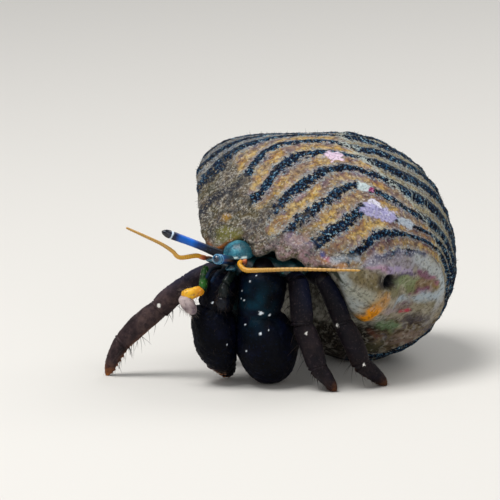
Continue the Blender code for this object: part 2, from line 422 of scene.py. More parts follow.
callus = {
    "facing": (0.752, -0.338, -0.566),
    "lengthwise": (0.095, -0.794, 0.6),
    "middle": (8.9, -5.6, 7.5),
    "sunk": 2.6,                       # how far the ellipsoid's centre lies behind the face
    "halves": (10.4, 6.2, 3.0),
    "lipMiddle": (8.9, -10.3, 9.3),    # the thick inner lip beside the mouth
    "lipHalves": (4.2, 2.7, 1.7),
    "bridgeMiddle": (8.3, -12.2, 10.6),
    "bridgeHalves": (4.0, 1.3, 1.4),
    "seamMiddle": (9.3, -13.2, 11.3), "seamAlong": (0.33, 0.62, -0.71),
    "seamFacing": (0.75, -0.6, -0.25), "seamHalves": (2.9, 1.15, 1.5),
}
calFacing = unit(callus["facing"])
calLong = unit(callus["lengthwise"])
calCross = np.cross(calFacing, calLong)


def shellBodies():
    a, b, c = callus["halves"]
    middle = np.array(callus["middle"]) - calFacing * callus["sunk"]
    spire = np.array((shellAxis, shellRadial, shellSide)) * np.array(shell["spireHalves"])[:, None]
    bodies = [whorlTube(), egg(shellOrigin - shellAxis * shell["spireDeep"], spire),
              egg(middle, (calFacing * c, calLong * a, calCross * b))]
    for part in ("lip", "bridge"):
        a, b, c = callus[part + "Halves"]
        bodies.append(egg(callus[part + "Middle"], (calFacing * c, calLong * a, calCross * b)))
    a, b, c = callus["seamHalves"]
    facing = unit(callus["seamFacing"])
    run = unit(callus["seamAlong"] - facing * (facing @ callus["seamAlong"]))
    bodies.append(egg(callus["seamMiddle"], (facing * b, run * a, np.cross(facing, run) * c)))
    return joined(bodies)


def readArray(items, key, width, kind):
    values = np.empty(len(items) * width, kind)
    items.foreach_get(key, values)
    return values


def oneSkin(name, part, voxel, smoothing):
    # bodies that pass through each other, made one closed surface and read back as arrays
    piece = bpy.data.objects.new(name, writeMesh(name, part))
    bpy.context.scene.collection.objects.link(piece)
    remesh = piece.modifiers.new("one body", "REMESH")
    remesh.mode = "VOXEL"
    remesh.voxel_size = voxel * mm
    soften = piece.modifiers.new("soften", "SMOOTH")
    soften.factor = 0.5
    soften.iterations = smoothing
    found = piece.evaluated_get(bpy.context.evaluated_depsgraph_get()).to_mesh()
    points = readArray(found.vertices, "co", 3, float).reshape(-1, 3)
    normals = readArray(found.vertices, "normal", 3, float).reshape(-1, 3)
    corners = readArray(found.loops, "vertex_index", 1, int)
    counts = readArray(found.polygons, "loop_total", 1, int)
    first = readArray(found.polygons, "loop_start", 1, int)
    four = first[counts == 4]
    three = first[counts == 3]
    skin = {"points": points / mm, "traits": {},
            "quads": corners[four[:, None] + np.arange(4)],
            "fans": corners[three[:, None] + np.arange(3)]}
    bpy.data.objects.remove(piece, do_unlink=True)
    return skin, normals


def whorlPlaces(points):
    # turns the growth law round: for each turn that could reach a point, the section angle
    # and the share of the section's radius, keeping the turn that comes nearest to the wall
    away = points - shellOrigin
    height = away @ shellAxis
    x, y = away @ shellRadial, away @ shellSide
    ring, theta = np.hypot(x, y), np.arctan2(y, x)
    lean = math.radians(shell["lean"])
    best = {key: np.zeros(len(points)) for key in ("growth", "angle", "share")}
    closeness = np.full(len(points), 99.0)
    for turn in (0, -1):
        growth = theta + 2 * np.pi * turn
        size = np.exp(shell["growth"] * growth)
        for again in range(2):
            out, axial = ring / size - shell["reach"], height / size
            longPart = out * math.sin(lean) - axial * math.cos(lean)
            widePart = out * math.cos(lean) + axial * math.sin(lean)
            angle = np.degrees(np.arctan2(widePart / shell["wide"], longPart / shell["long"]))
            size = np.exp(shell["growth"] * growth) * swell(growth, angle)
        bulge = shoulder(growth, angle)
        share = np.hypot(widePart / shell["wide"], longPart / (shell["long"] * bulge))
        allowed = growth < lipLead(angle % 360) + 0.12
        off = np.where(allowed, np.abs(share - 1), 50)
        better = off < closeness
        closeness = np.where(better, off, closeness)
        for key, value in (("growth", growth), ("angle", angle % 360), ("share", share)):
            best[key] = np.where(better, value, best[key])
    return best["growth"], best["angle"], best["share"]


def polished(skin, amount, passes):
    # moves each point toward the mean of its neighbours, by its own amount
    quads, fans = skin["quads"], skin["fans"]
    edges = np.concatenate([quads[:, [k, (k + 1) % 4]] for k in range(4)]
                           + [fans[:, [k, (k + 1) % 3]] for k in range(3)])
    points = skin["points"]
    number = np.bincount(edges[:, 0], minlength=len(points))[:, None]
    for step in range(passes):
        mean = np.stack([np.bincount(edges[:, 0], points[edges[:, 1], k], len(points))
                         for k in range(3)], axis=-1) / number
        points = points + (mean - points) * amount[:, None]
    return points


def normalsOf(skin):
    # the cross products of the faces' diagonals, added up at each corner
    points, quads = skin["points"], skin["quads"]
    faces = np.cross(points[quads[:, 2]] - points[quads[:, 0]],
                     points[quads[:, 3]] - points[quads[:, 1]])
    total = np.stack([np.bincount(quads.reshape(-1), np.repeat(faces[:, k], 4), len(points))
                      for k in range(3)], axis=-1)
    return unit(total)


# coloured growths and stains on the shell: a stroke from one place to another, its half
# width, its colour and its strength
daubs = [
    # on the whorl
    ((2.0, -7.1, 23.3), (2.2, -7.2, 23.1), 0.9, "dfc6da", 0.9),
    ((6.3, -8.2, 20.9), (6.9, -7.9, 20.6), 0.7, "c3d2d2", 0.85),
    ((7.3, -7.7, 20.4), (7.5, -7.7, 20.4), 0.38, "8e1a5c", 1.0),
    ((8.5, -9.3, 18.9), (10.0, -7.9, 17.9), 1.0, "a5a0c8", 0.9),
    ((8.3, -8.9, 19.6), (10.3, -7.2, 18.4), 0.45, "dcd8e4", 0.85),
    ((10.6, -6.9, 17.3), (11.0, -6.2, 16.9), 0.75, "b4bfca", 0.8),
    ((6.9, -15.8, 14.7), (7.0, -15.8, 14.7), 0.4, "1d3f86", 0.9),
    ((7.4, -15.6, 14.5), (7.5, -15.5, 14.4), 0.36, "a8527e", 0.8),
    ((-5.1, -16.5, 17.5), (-5.0, -16.5, 17.4), 0.6, "a17c34", 0.85),
    ((-4.9, -17.9, 15.6), (-3.6, -17.7, 15.8), 1.1, "6f6d30", 0.7),
    ((6.2, -15.9, 14.0), (8.6, -14.9, 13.5), 0.6, "b5834c", 0.7),
    ((3.0, -16.6, 16.2), (4.6, -16.0, 15.6), 0.8, "a08a98", 0.5),
    # round the base
    ((7.8, -15.2, 14.2), (9.4, -13.4, 14.3), 0.45, "a4b0ba", 0.6),
    ((10.4, -12.4, 13.5), (12.2, -5.8, 13.0), 1.15, "918b98", 0.8),
    ((12.2, -6.2, 13.2), (12.3, -2.6, 11.0), 0.95, "a9b0b2", 0.9),
    ((12.3, -2.0, 10.4), (11.8, -0.7, 8.6), 0.65, "acb8be", 0.9),
    ((11.8, -0.7, 8.6), (11.1, -0.7, 7.0), 0.5, "a9aeb0", 0.8),
    ((11.1, -0.7, 7.0), (10.0, -0.9, 5.3), 0.6, "9a9690", 0.7),
    ((8.6, -14.8, 11.8), (8.5, -12.8, 8.8), 1.5, "9aa09e", 0.9),
    ((9.2, -14.2, 10.6), (10.6, -12.6, 9.8), 1.1, "9b9c8e", 0.8),
    ((9.9, -14.2, 12.3), (11.1, -11.6, 11.2), 1.1, "726545", 0.85),
    ((11.3, -10.6, 10.5), (11.2, -8.4, 10.2), 0.8, "6f6a48", 0.8),
    ((11.4, -11.2, 11.5), (11.6, -9.2, 11.5), 1.05, "22232a", 0.85),
    ((11.6, -8.6, 11.3), (11.3, -5.6, 10.4), 1.0, "7c8860", 0.85),
    ((11.1, -6.4, 9.7), (11.3, -5.2, 9.8), 0.6, "6a7048", 0.8),
    ((11.6, -4.6, 10.5), (11.9, -2.9, 9.8), 0.8, "7c6347", 0.85),
    ((12.0, -2.4, 9.7), (12.0, -2.1, 9.3), 0.45, "84703a", 0.85),
    ((11.0, -5.4, 9.2), (11.7, -3.2, 9.3), 0.5, "744258", 0.9),
    ((10.3, -13.2, 13.1), (11.4, -10.6, 12.8), 0.36, "b08aa4", 0.8),
    ((11.4, -10.6, 12.8), (12.0, -7.4, 12.2), 0.42, "a294b4", 0.8),
    ((11.7, -9.2, 12.2), (12.1, -6.0, 11.7), 0.3, "4a3a5c", 0.7),
    ((12.0, -6.4, 11.9), (12.2, -3.7, 10.9), 0.42, "74455f", 0.85),
    ((12.2, -3.7, 10.9), (12.1, -2.4, 10.0), 0.35, "8f5a70", 0.8),
    ((10.9, -11.4, 9.4), (10.2, -6.0, 8.6), 0.6, "a09688", 0.7),
    ((10.4, -7.2, 8.6), (11.6, -1.8, 8.3), 0.85, "a2b0ba", 0.9),
    ((10.4, -10.1, 8.2), (9.2, -6.2, 7.4), 0.6, "9c8d90", 0.75),
    ((9.2, -5.2, 7.0), (9.7, -4.0, 6.9), 0.38, "b2304a", 0.9),
    ((8.8, -3.6, 5.9), (10.3, -1.8, 6.0), 0.9, "47434a", 0.7),
    ((7.0, -11.0, 6.9), (8.3, -11.1, 7.1), 0.75, "a8861c", 0.9),
    ((8.0, -11.2, 6.9), (10.6, -11.1, 8.9), 1.5, "a88448", 0.75),
    ((8.6, -11.2, 7.3), (9.9, -11.2, 8.2), 0.95, "e08e0c", 0.97),
    ((10.3, -11.3, 8.8), (11.1, -10.4, 9.4), 0.75, "b07e44", 0.75),
    ((7.5, -6.3, 5.7), (7.9, -4.5, 5.1), 0.8, "6a8660", 0.8),
    ((7.4, -4.3, 4.4), (7.4, -4.0, 4.2), 0.5, "62704a", 0.7),
    ((6.3, -6.7, 5.0), (6.3, -5.2, 4.1), 0.6, "653a2a", 0.7),
    ((7.7, -3.4, 3.9), (8.8, -1.3, 3.8), 0.8, "8a7668", 0.7),
    ((5.1, -4.7, 2.4), (7.0, -3.4, 3.0), 0.8, "45442c", 0.7),
    ((6.9, -3.5, 3.0), (8.3, -1.2, 3.1), 0.5, "80685f", 0.6),
    ((10.7, -11.6, 13.9), (11.6, -8.8, 14.3), 0.25, "3a3f58", 0.7),
    ((11.9, -7.5, 14.0), (12.3, -5.0, 13.6), 0.28, "2c3450", 0.75),
]
# the pit in the base: place, size and depth of the hollow, and the range of the painted shade
# inside it
pit = {"place": (11.5, -10.4, 11.4), "radius": 0.95, "depth": 1.1, "dark": (0.6, 1.0)}
# a shallow trough in the base
trough = {"from": (11.4, -7.6, 10.5), "to": (12.0, -3.4, 9.9), "half": 1.2, "depth": 0.35}


def strokeGap(points, start, end):
    # distance to a straight stroke
    start, end = np.array(start), np.array(end)
    way = end - start
    part = np.clip((points - start) @ way / (way @ way), 0, 1)
    return np.linalg.norm(points - start - part[:, None] * way, axis=-1)


def paintDaubs(points):
    colour, amount = np.zeros((len(points), 3)), np.zeros(len(points))
    wobble = roughness(points, 0.6, 31, 4)
    drift = np.stack([roughness(points, 1.3, 40 + k, 3) for k in range(3)], axis=-1)
    moved = points + 0.55 * drift
    crisp = 0.7 * roughness(points, 0.4, 57, 4)
    onBase = ease(points[:, 2] + 0.5 * points[:, 0], 20.5, 19.5)
    for start, end, half, code, strength in daubs:
        gap = strokeGap(moved, start, end) / half + 0.5 * wobble
        soft = 1 - ease(gap, 0.35, 1.25)
        hard = 1 - ease(gap + crisp, 0.75, 0.95)
        here = (soft * onBase + hard * (1 - onBase)) * strength
        colour = colour * (1 - here)[:, None] + np.array(tint(code)[:3]) * here[:, None]
        amount = amount * (1 - here) + here
    colour = colour / np.maximum(amount, 1e-3)[:, None]
    return np.concatenate([colour, amount[:, None]], axis=-1)


def shellTraits(points):
    growth, angle, share = whorlPlaces(points)
    degrees = np.degrees(growth)
    angle = np.where(angle > 270, angle - 360, angle)
    height = (points - shellOrigin) @ shellAxis
    phase = ribPhase(angle) - ribBend(degrees, angle)
    # on the low spire the ribs follow the same spiral inward
    flatPart = points - shellOrigin - height[:, None] * shellAxis
    ring = np.linalg.norm(flatPart, axis=-1)
    theta = np.arctan2(flatPart @ shellSide, flatPart @ shellRadial)
    spire = ease(share, 1.02, 1.06) * ease(-height, 4, 6)
    spiral = (np.log(np.maximum(ring, 0.2) / 9.0) / shell["growth"] - theta) / (2 * np.pi)
    spiral = spiral - np.floor(spiral)
    phase = np.where(spire > 0.5, spiral * 5 + 0.5, phase)
    edge = (150 + 9 * hill(degrees, -48, 28) - 13 * hill(degrees, -168, 26)
            - 10 * hill(degrees, -235, 22) - 8 * hill(degrees, -5, 14))
    base = ease(angle - edge, -2, 2) * (1 - spire)
    base = np.maximum(base, ease(share, 1.015, 1.05) * (1 - spire) * ease(height, 0, 3))
    inside = (1 - ease(share, 0.925, 0.955)) * ease(degrees, -75, -65)
    bend = np.radians(angle) - 2.044
    scar = degrees - np.degrees(-1.224 - 0.774 * bend - 0.55 * bend ** 2)
    toLip = np.degrees(lipLead(angle % 360) - growth)
    wide = 6 + 13 * (1 - ease(angle, 84, 103))
    crust = 1 - ease(toLip + 5 * cloud(points, 1.6, 4), wide - 3, wide + 7)
    crust = np.maximum(crust, 0.42 * (1 - ease(toLip + 8 * cloud(points, 1.6, 14), 12, 36)))
    crust = crust * (1 - base) * (0.4 + 0.6 * ease(angle, 46, 72))
    pink = 0.6 * hill(toLip, 2, 4) * hill(angle, 125, 18) * (1 - base)
    orange = 0.9 * hill(toLip, -0.5, 1.1) * hill(angle, 87, 5) * (1 - base)
    ghost = 0.35 + 0.65 * (1 - ease(angle, 60, 84))
    scarred = ease(angle, 10, 40) * (1 - base)
    # the older whorl seen under the mouth carries no ribs: pale above, and dark below where shade
    # is painted
    under = ease(-degrees, 238, 256) * (1 - spire) * (1 - inside)
    under = np.maximum(under, base * (1 - ease(points[:, 0], 5.0, 6.4)))
    return {"ribPhase": phase, "growth": degrees, "angle": angle, "base": base, "inside": inside,
            "scar": scar, "crust": crust, "spire": spire, "spiral": spiral,
            "edgeGap": angle - edge, "pink": pink, "orange": orange, "ghost": ghost,
            "scarred": scarred, "under": under}


def shellRelief(points, normals, t):
    phase = t["ribPhase"] + 0.07 * roughness(points, 0.8, 12)
    ribGap = np.abs(phase - np.round(phase))
    plain = (1 - t["base"]) * (1 - t["inside"]) * (1 - t["under"])
    older = ease(-t["scar"], -1, 2)
    ribs = hill(ribGap, 0, 0.2) * (0.75 + 0.45 * cloud(points, 0.9, 3))
    strength = shell["ribHeight"] * (0.55 + 0.5 * older) * (1 - 0.75 * t["crust"])
    height = ribs * strength * plain
    threads = np.sin(t["growth"] * 2.6 + 1.2 * cloud(points, 1.2, 8)) * 0.025
    height += threads * plain * (1 - t["crust"])
    height += plain * 0.1 * hill(t["scar"], 0.6, 1.6) * ease(t["angle"], 45, 70)
    height += (0.06 * roughness(points, 1.4, 2) + 0.035 * roughness(points, 0.45, 6)) * (
        0.5 + 0.5 * plain)
    stonesHere = np.clip(0.55 - pebbles(points, 0.55, 5), 0, 1)
    height += t["crust"] * (0.13 * roughness(points, 0.8, 9, 4) + 0.14 * stonesHere)
    height += 0.05 * plain * np.clip(0.4 - pebbles(points, 0.4, 15), 0, 1)
    height -= 0.25 * t["spire"] * hill(np.abs(t["spiral"] - 0.5), 0.5, 0.09)
    hole = gapTo(points, pit["place"])
    height -= pit["depth"] * (1 - ease(hole, 0.3 * pit["radius"], pit["radius"] * 1.1))
    hollow = strokeGap(points, trough["from"], trough["to"])
    height -= trough["depth"] * (1 - ease(hollow, 0.1, trough["half"]))
    height -= 0.14 * plain
    # a low rim where the base meets the whorl
    height += 0.12 * hill(t["edgeGap"], 2.5, 2.0) * t["base"] * ease(-t["growth"], 80, 110)
    return points + normals * height[:, None]


# tones of the shell: places on a scale from 0 to 1, and colours
shellTones = {
    "band": [(0.0, "8f989a"), (0.16, "3c2c38"), (0.28, "62485a"), (0.38, "8c6440"),
             (0.5, "c4982f"), (0.62, "cca94e"), (0.74, "a88a74"), (0.86, "a3a6a2"),
             (1.0, "858e92")],
    "streaks": [(0.32, "4e3a42"), (0.42, "7d5c4e"), (0.48, "aa8038"), (0.53, "8f6c58"),
                (0.6, "7d7480"), (0.68, "b5a78e")],
    "blotches": [(0.34, "3a2c3a"), (0.42, "8a5a40"), (0.48, "c8a44c"), (0.54, "dcc47c"),
                 (0.58, "74683c"), (0.65, "8f7488"), (0.74, "cfc4b0")],
    "top": [(0.36, "141f30"), (0.48, "3f4f60"), (0.64, "8494a0")],
    "older": [(0.36, "30343a"), (0.5, "646452"), (0.64, "a4a894")],
    "ribs": [(0.3, "010207"), (0.5, "030c20"), (0.62, "0a2240"), (0.72, "28536e"),
             (0.81, "93adb6")],
    "crust": [(0.22, "0b0d14"), (0.37, "2c2b2c"), (0.5, "585450"), (0.62, "7c786e"),
              (0.74, "b2aea4"), (0.87, "e8e6e0")],
    "patches": [(0.34, "44421f"), (0.42, "7c6a38"), (0.49, "56524a"), (0.55, "84704f"),
                (0.62, "625e60"), (0.72, "a09880")],
    "cream": [(0.3, "575240"), (0.42, "7d7660"), (0.52, "938b78"), (0.62, "847868"),
              (0.72, "756468")],
    "mottle": [(0.3, "241e18"), (0.4, "4f4030"), (0.47, "746850"), (0.53, "5d565c"),
               (0.6, "80725a"), (0.7, "978a72")],
    "column": [(0.35, "6c6a62"), (0.6, "98968a")],
    # shade: painted shade for the low part of the smooth underside
    "shade": [(0.35, "060504"), (0.5, "14110f"), (0.66, "383229")],
    "pearl": [(0.35, "2c3430"), (0.6, "55584c")],
}


def shellMaterial():
    material, tree, shader = startMaterial("shell_crust", 0.55, 0.0, 0.07)
    coarse, middling = grain(tree, 0.6, 4, 1.0), grain(tree, 0.24, 4, 6.0)
    fine, tiny = grain(tree, 0.12, 3, 16.0), grain(tree, 0.06, 2, 3.0)
    cells = add(tree, "SeparateColor", {0: stones(tree, 0.17, 2.0, output="Color")})
    cellA, cellB = cells.outputs[0], cells.outputs[1]
    growth, rib = trait(tree, "growth"), trait(tree, "ribPhase")
    streak = add(tree, "CombineXYZ", {0: times(tree, growth, 0.12), 1: rib}).outputs[0]
    streaky = add(tree, "TexNoise", {"Vector": streak, "Scale": 2.2, "Detail": 5.0,
                                     "Distortion": 0.3}).outputs["Fac"]
    line = add(tree, "CombineXYZ", {0: times(tree, growth, 0.9), 1: times(tree, rib, 0.3)})
    linear = add(tree, "TexNoise", {"Vector": line.outputs[0], "Scale": 1.0,
                                    "Detail": 3.0}).outputs["Fac"]
    level = add(tree, "SeparateXYZ", {0: add(tree, "TexCoord").outputs["Object"]}).outputs[2]
    older = rise(tree, trait(tree, "scar"), 1.0, -2.0)
    top = rise(tree, trait(tree, "angle"), 62, 40)

    # spiral ribs, dark with ragged granular edges
    ragged = scaled(tree, middling, 0.44, -0.22)
    bristle = scaled(tree, tiny, 0.34, -0.17)
    phase = plus(tree, rib, scaled(tree, coarse, 0.34, -0.17))
    gap = plus(tree, sums(tree, "PINGPONG", phase, 0.5), plus(tree, ragged, bristle))
    wide = scaled(tree, older, 0.12, scaled(tree, top, 0.08, 0.175))
    gap = sums(tree, "SUBTRACT", gap, wide)
    worn = plus(tree, streaky, times(tree, linear, 0.5))
    ink = times(tree, rise(tree, gap, 0.035, -0.035),
                scaled(tree, rise(tree, worn, 0.92, 1.05), -0.55, 1.0))
    border = times(tree, rise(tree, gap, 0.0, 0.04), rise(tree, gap, 0.14, 0.06))
    # from each rib to the next: a dark mauve edge, partly painted shade beside the rib, ochre,
    # tan, then a pale fringe, in broken streaks
    step = scaled(tree, streaky, 0.5, plus(tree, phase, 9.6))
    step = sums(tree, "FRACT", scaled(tree, middling, 0.3, step))
    band = colours(tree, step, shellTones["band"])
    band = over(tree, 0.42, band, colours(tree, streaky, shellTones["streaks"]))
    blotch = grain(tree, 0.8, 5, 9.0, warp=0.5)
    band = over(tree, 0.42, band, colours(tree, blotch, shellTones["blotches"]))
    band = flecked(tree, band, "584c62", 0.5, grain(tree, 1.3, 4, 31.0, warp=0.6), 0.48, 0.6)
    band = laid(tree, band, "3c4054", 0.18)
    band = over(tree, times(tree, top, 0.8), band, colours(tree, fine, shellTones["top"]))
    band = flecked(tree, band, "43302c", 0.6, middling, 0.5, 0.36)
    band = flecked(tree, band, "cdbf98", 0.45, middling, 0.56, 0.7)
    band = flecked(tree, band, "d5d2c8", 0.32, cellA, 0.88, 0.98)
    band = flecked(tree, band, "3a3438", 0.4, cellB, 0.8, 0.95)
    band = over(tree, times(tree, older, 0.6), band, colours(tree, fine, shellTones["older"]))
    band = laid(tree, band, "95a0a2", border, scaled(tree, cellA, 0.8, 0.1))
    ribTone = scaled(tree, cellA, 0.5, times(tree, fine, 0.5))
    base = over(tree, ink, band, colours(tree, ribTone, shellTones["ribs"]))
    growthLine = rise(tree, linear, 0.6, 0.68)
    base = laid(tree, base, "8a938e", growthLine, scaled(tree, older, 0.55, 0.12))

    # grey granular crust by the mouth, through which the ribs still show as dark specks
    crustValue = scaled(tree, cellB, 0.42, times(tree, middling, 0.58))
    patch = colours(tree, grain(tree, 0.9, 5, 12.0, warp=0.4), shellTones["patches"])
    crust = over(tree, 0.4, colours(tree, crustValue, shellTones["crust"]), patch)
    crust = flecked(tree, crust, "c8c6bc", 0.35, cellA, 0.84, 0.92)
    crust = laid(tree, crust, "282c34", 0.14)
    crust = flecked(tree, crust, "1c1c1c", 0.5, coarse, 0.46, 0.34)
    broken = rise(tree, plus(tree, cellA, times(tree, fine, 0.8)), 0.5, 0.8)
    ghost = times(tree, rise(tree, gap, 0.1, -0.08), broken)
    crust = laid(tree, crust, "0c1628", ghost, trait(tree, "ghost"))
    crust = flecked(tree, crust, "262830", 0.5, tiny, 0.4, 0.3)
    crustEdge = scaled(tree, middling, 0.8, scaled(tree, coarse, 0.5, -0.65))
    crustAmount = rise(tree, plus(tree, trait(tree, "crust"), crustEdge), 0.3, 0.62)
    base = over(tree, crustAmount, base, crust)
    base = laid(tree, base, "927078", trait(tree, "pink"), rise(tree, middling, 0.35, 0.6))
    base = laid(tree, base, "c8702a", trait(tree, "orange"))

    # the scar where growth once stopped: pale, broad and broken
    scarPlace = scaled(tree, coarse, 7.0, plus(tree, trait(tree, "scar"), -3.2))
    scarGap = sums(tree, "ABSOLUTE", scarPlace)
    broken = rise(tree, plus(tree, middling, times(tree, cellA, 0.5)), 0.66, 0.86)
    scar = times(tree, rise(tree, scarGap, 3.8, 0.6), broken)
    base = laid(tree, base, "a3aba4", scar, times(tree, trait(tree, "scarred"), 0.85))

    # smooth base: pale by the pit, dirty and mottled below it
    cream = colours(tree, grain(tree, 0.9, 6, 2.0, warp=0.8), shellTones["cream"])
    mottle = colours(tree, grain(tree, 0.7, 6, 7.0, warp=0.9), shellTones["mottle"])
    low = rise(tree, scaled(tree, coarse, 0.0014, level), 0.0074, 0.0062)
    base = over(tree, trait(tree, "base"), base, over(tree, low, cream, mottle))
    # painted shade: the smooth underside turns near-black toward the floor, below the pale column
    # colour
    shade = colours(tree, middling, shellTones["shade"])
    shade = flecked(tree, shade, "8f8a80", 0.5, cellA, 0.84, 0.95)
    deep = rise(tree, scaled(tree, coarse, 0.002, level), 0.0074, 0.006)
    below = over(tree, deep, colours(tree, middling, shellTones["column"]), shade)
    base = over(tree, trait(tree, "under"), base, below)
    daub = add(tree, "Attribute", attribute_name="daub")
    grained = flecked(tree, daub.outputs["Color"], "f0eef2", 0.35, cellB, 0.72, 0.95)
    grained = flecked(tree, grained, "2c2a36", 0.5, fine, 0.48, 0.34)
    smooth = sums(tree, "MAXIMUM", trait(tree, "base"), trait(tree, "under"))
    daubTone = over(tree, smooth, grained, daub.outputs["Color"])
    base = over(tree, daub.outputs["Alpha"], base, daubTone)
    # fine dirt, brushed streaks and pale flecks over everything smooth
    dirty = times(tree, rise(tree, middling, 0.5, 0.34), 0.5)
    pale = times(tree, rise(tree, grain(tree, 0.35, 5, 21.0, warp=0.6), 0.52, 0.66), 0.3)
    base = laid(tree, base, "3a3024", dirty, smooth)
    base = laid(tree, base, "c0bcae", pale, smooth)
    base = laid(tree, base, "2c241c", rise(tree, cellA, 0.86, 0.98), times(tree, smooth, 0.45))
    # painted shade in the pit: its hollow darkened to near black
    base = laid(tree, base, "070a10", trait(tree, "hole"))
    pearl = colours(tree, grain(tree, 1.5, 4, 5.0), shellTones["pearl"])
    base = over(tree, trait(tree, "inside"), base, pearl)
    rough = scaled(tree, fine, 0.4, scaled(tree, trait(tree, "base"), -0.18, 0.42))
    tree.links.new(rough, shader.inputs["Roughness"])
    bumps = plus(tree, times(tree, cellA, 0.5), middling)
    finish(tree, shader, base, plus(tree, bumps, times(tree, tiny, 0.7)), 0.8, 0.09)
    return material


def buildShell():
    skin = oneSkin("shell_form", shellBodies(), shell["voxel"], 3)[0]
    first = shellTraits(skin["points"])
    soft = np.maximum(first["base"], first["under"]) * 0.85 + first["spire"] * 0.4 + 0.05
    soft = np.clip(soft, 0, 0.85)
    skin["points"] = polished(skin, soft, 34)
    traits = shellTraits(skin["points"])
    hole = gapTo(skin["points"], pit["place"])
    # where painted shade darkens the pit
    traits["hole"] = 1 - ease(hole + 0.1 * cloud(skin["points"], 0.3, 2), *pit["dark"])
    traits["daub"] = paintDaubs(skin["points"])
    skin["points"] = shellRelief(skin["points"], normalsOf(skin), traits)
    skin["points"][:, 2] = np.maximum(skin["points"][:, 2], 0.0)
    skin["traits"] = traits
    addPiece("turban_shell", skin, shellMaterial(), ["shell"])
    print("shell", 2 * len(skin["quads"]) + len(skin["fans"]), "triangles")
    return skin


shellSkin = buildShell()


# limbs: rings carried along a curve
def along(points, places):
    # each stretch is the cubic through its two ends whose slopes run between the neighbours
    points = np.asarray(points, float)
    padded = np.concatenate([[2 * points[0] - points[1]], points, [2 * points[-1] - points[-2]]])
    place = np.asarray(places) * (len(points) - 1)
    first = np.clip(place.astype(int), 0, len(points) - 2)
    t = (place - first)[:, None]
    a, b, c, d = (padded[first + k] for k in range(4))
    return 0.5 * (2 * b + (c - a) * t + (2 * a - 5 * b + 4 * c - d) * t ** 2
                  + (3 * b - a - 3 * c + d) * t ** 3)


def limbForm(path, radii, rows, sides, side, flat, caps):
    # circles (narrowed sideways by flat) across a curve, closing to a point over each cap;
    # a quarter of the way round is the upper edge
    share = np.linspace(0, 1, rows)
    share = 0.5 * share + 0.25 * (1 - np.cos(np.pi * share))
    centre = along(path, share)
    radius = along(np.asarray(radii, float)[:, None], share)[:, 0]
    start = np.sqrt(1 - (1 - np.clip(share / caps[0], 0.02, 1)) ** 2)
    end = np.sqrt(1 - (1 - np.clip((1 - share) / caps[1], 0.02, 1)) ** 2)
    radius = radius * start * end
    forward = unit(np.gradient(centre, axis=0))
    side = np.asarray(side, float)
    sideways = unit(side - forward * (forward @ side)[:, None])
    upward = np.cross(sideways, forward)
    around = np.linspace(0, 2 * np.pi, sides, endpoint=False)
    across = (sideways[:, None] * (np.cos(around) * flat)[None, :, None]
              + upward[:, None] * np.sin(around)[None, :, None])
    form = {"points": centre[:, None] + across * radius[:, None, None], "share": share[:, None],
            "around": around[None, :], "centre": centre,
            "forward": forward}
    form["normals"] = gridNormals(form)
    return form


def gridNormals(form):
    points = form["points"]
    down = np.gradient(points, axis=0)
    sweep = np.roll(points, -1, axis=1) - np.roll(points, 1, axis=1)
    normals = unit(np.cross(down, sweep))
    away = points - form["centre"][:, None]
    return normals * np.sign(np.einsum("rsk,rsk->rs", normals, away).mean())


def press(form, height):
    # moves the surface out along its normals
    form["points"] = form["points"] + form["normals"] * height[..., None]


def knobs(form, count, low, high):
    # scattered places on a limb: distance from every point to the nearest one
    rows, sides = form["points"].shape[:2]
    shares = dice.uniform(low, high, count)
    turns = dice.uniform(-math.pi, math.pi, count)
    row = np.searchsorted(form["share"][:, 0], shares).clip(0, rows - 1)
    column = np.round(turns / (2 * np.pi) * sides).astype(int) % sides
    places = form["points"][row, column]
    gap = np.linalg.norm(form["points"][:, :, None] - places, axis=-1)
    return gap.min(axis=-1)


def legSide(path):
    # level direction across the plane in which a limb bends
    path = np.asarray(path, float)
    return unit(np.cross(path[-1] - path[0], (0, 0, 1)))


walkingLegs = {
    "paths": {
        "front_leg_right": [(-5.4, -16.8, 11.9), (-8.8, -18.5, 10.0), (-11.3, -19.8, 7.4),
                            (-14.9, -21.7, 3.6), (-16.4, -22.4, -0.1)],
        "rear_leg_right": [(-4.9, -12.9, 10.6), (-8.3, -12.4, 8.5), (-10.0, -12.1, 5.2),
                           (-10.9, -11.6, 2.3), (-10.6, -10.9, -0.1)],
        "front_leg_left": [(0.5, -14.2, 11.9), (2.95, -15.0, 11.3), (4.1, -15.9, 6.9),
                           (5.75, -15.4, 2.4), (7.5, -14.6, -0.1)],
        "rear_leg_left": [(1.6, -12.4, 11.6), (5.1, -13.6, 11.5), (7.45, -13.2, 6.9),
                          (8.85, -12.0, 2.6), (10.3, -9.2, -0.1)],
    },
    "stout": {"front_leg_left": (0.85, 1.12, 1.12, 1.1), "rear_leg_left": (0.8, 0.9, 1.02, 1.1)},
    "parts": ("merus", "carpus", "propodus", "dactyl"),
    "radii": {"merus": (0.9, 1.05, 1.08, 1.02), "carpus": (0.92, 1.04, 1.12, 1.04),
              "propodus": (0.92, 1.06, 1.08, 1.0, 0.88), "dactyl": (0.8, 0.84, 0.7, 0.52, 0.24)},
    "bow": {"merus": 0.1, "carpus": 0.14, "propodus": 0.18, "dactyl": 0.12},
    "flat": 0.86,
    "grid": (110, 80),
    "knobs": 90,
    "warmth": {"front_leg_right": 1.0, "rear_leg_right": 0.7, "front_leg_left": 0.22,
               "rear_leg_left": 0.18},
    "floor": 0.02,
    "spots": [(-10.9, -20.6, 7.9), (5.15, -16.7, 6.3), (7.3, -14.1, 6.9), (9.6, -12.5, 2.7)],
}


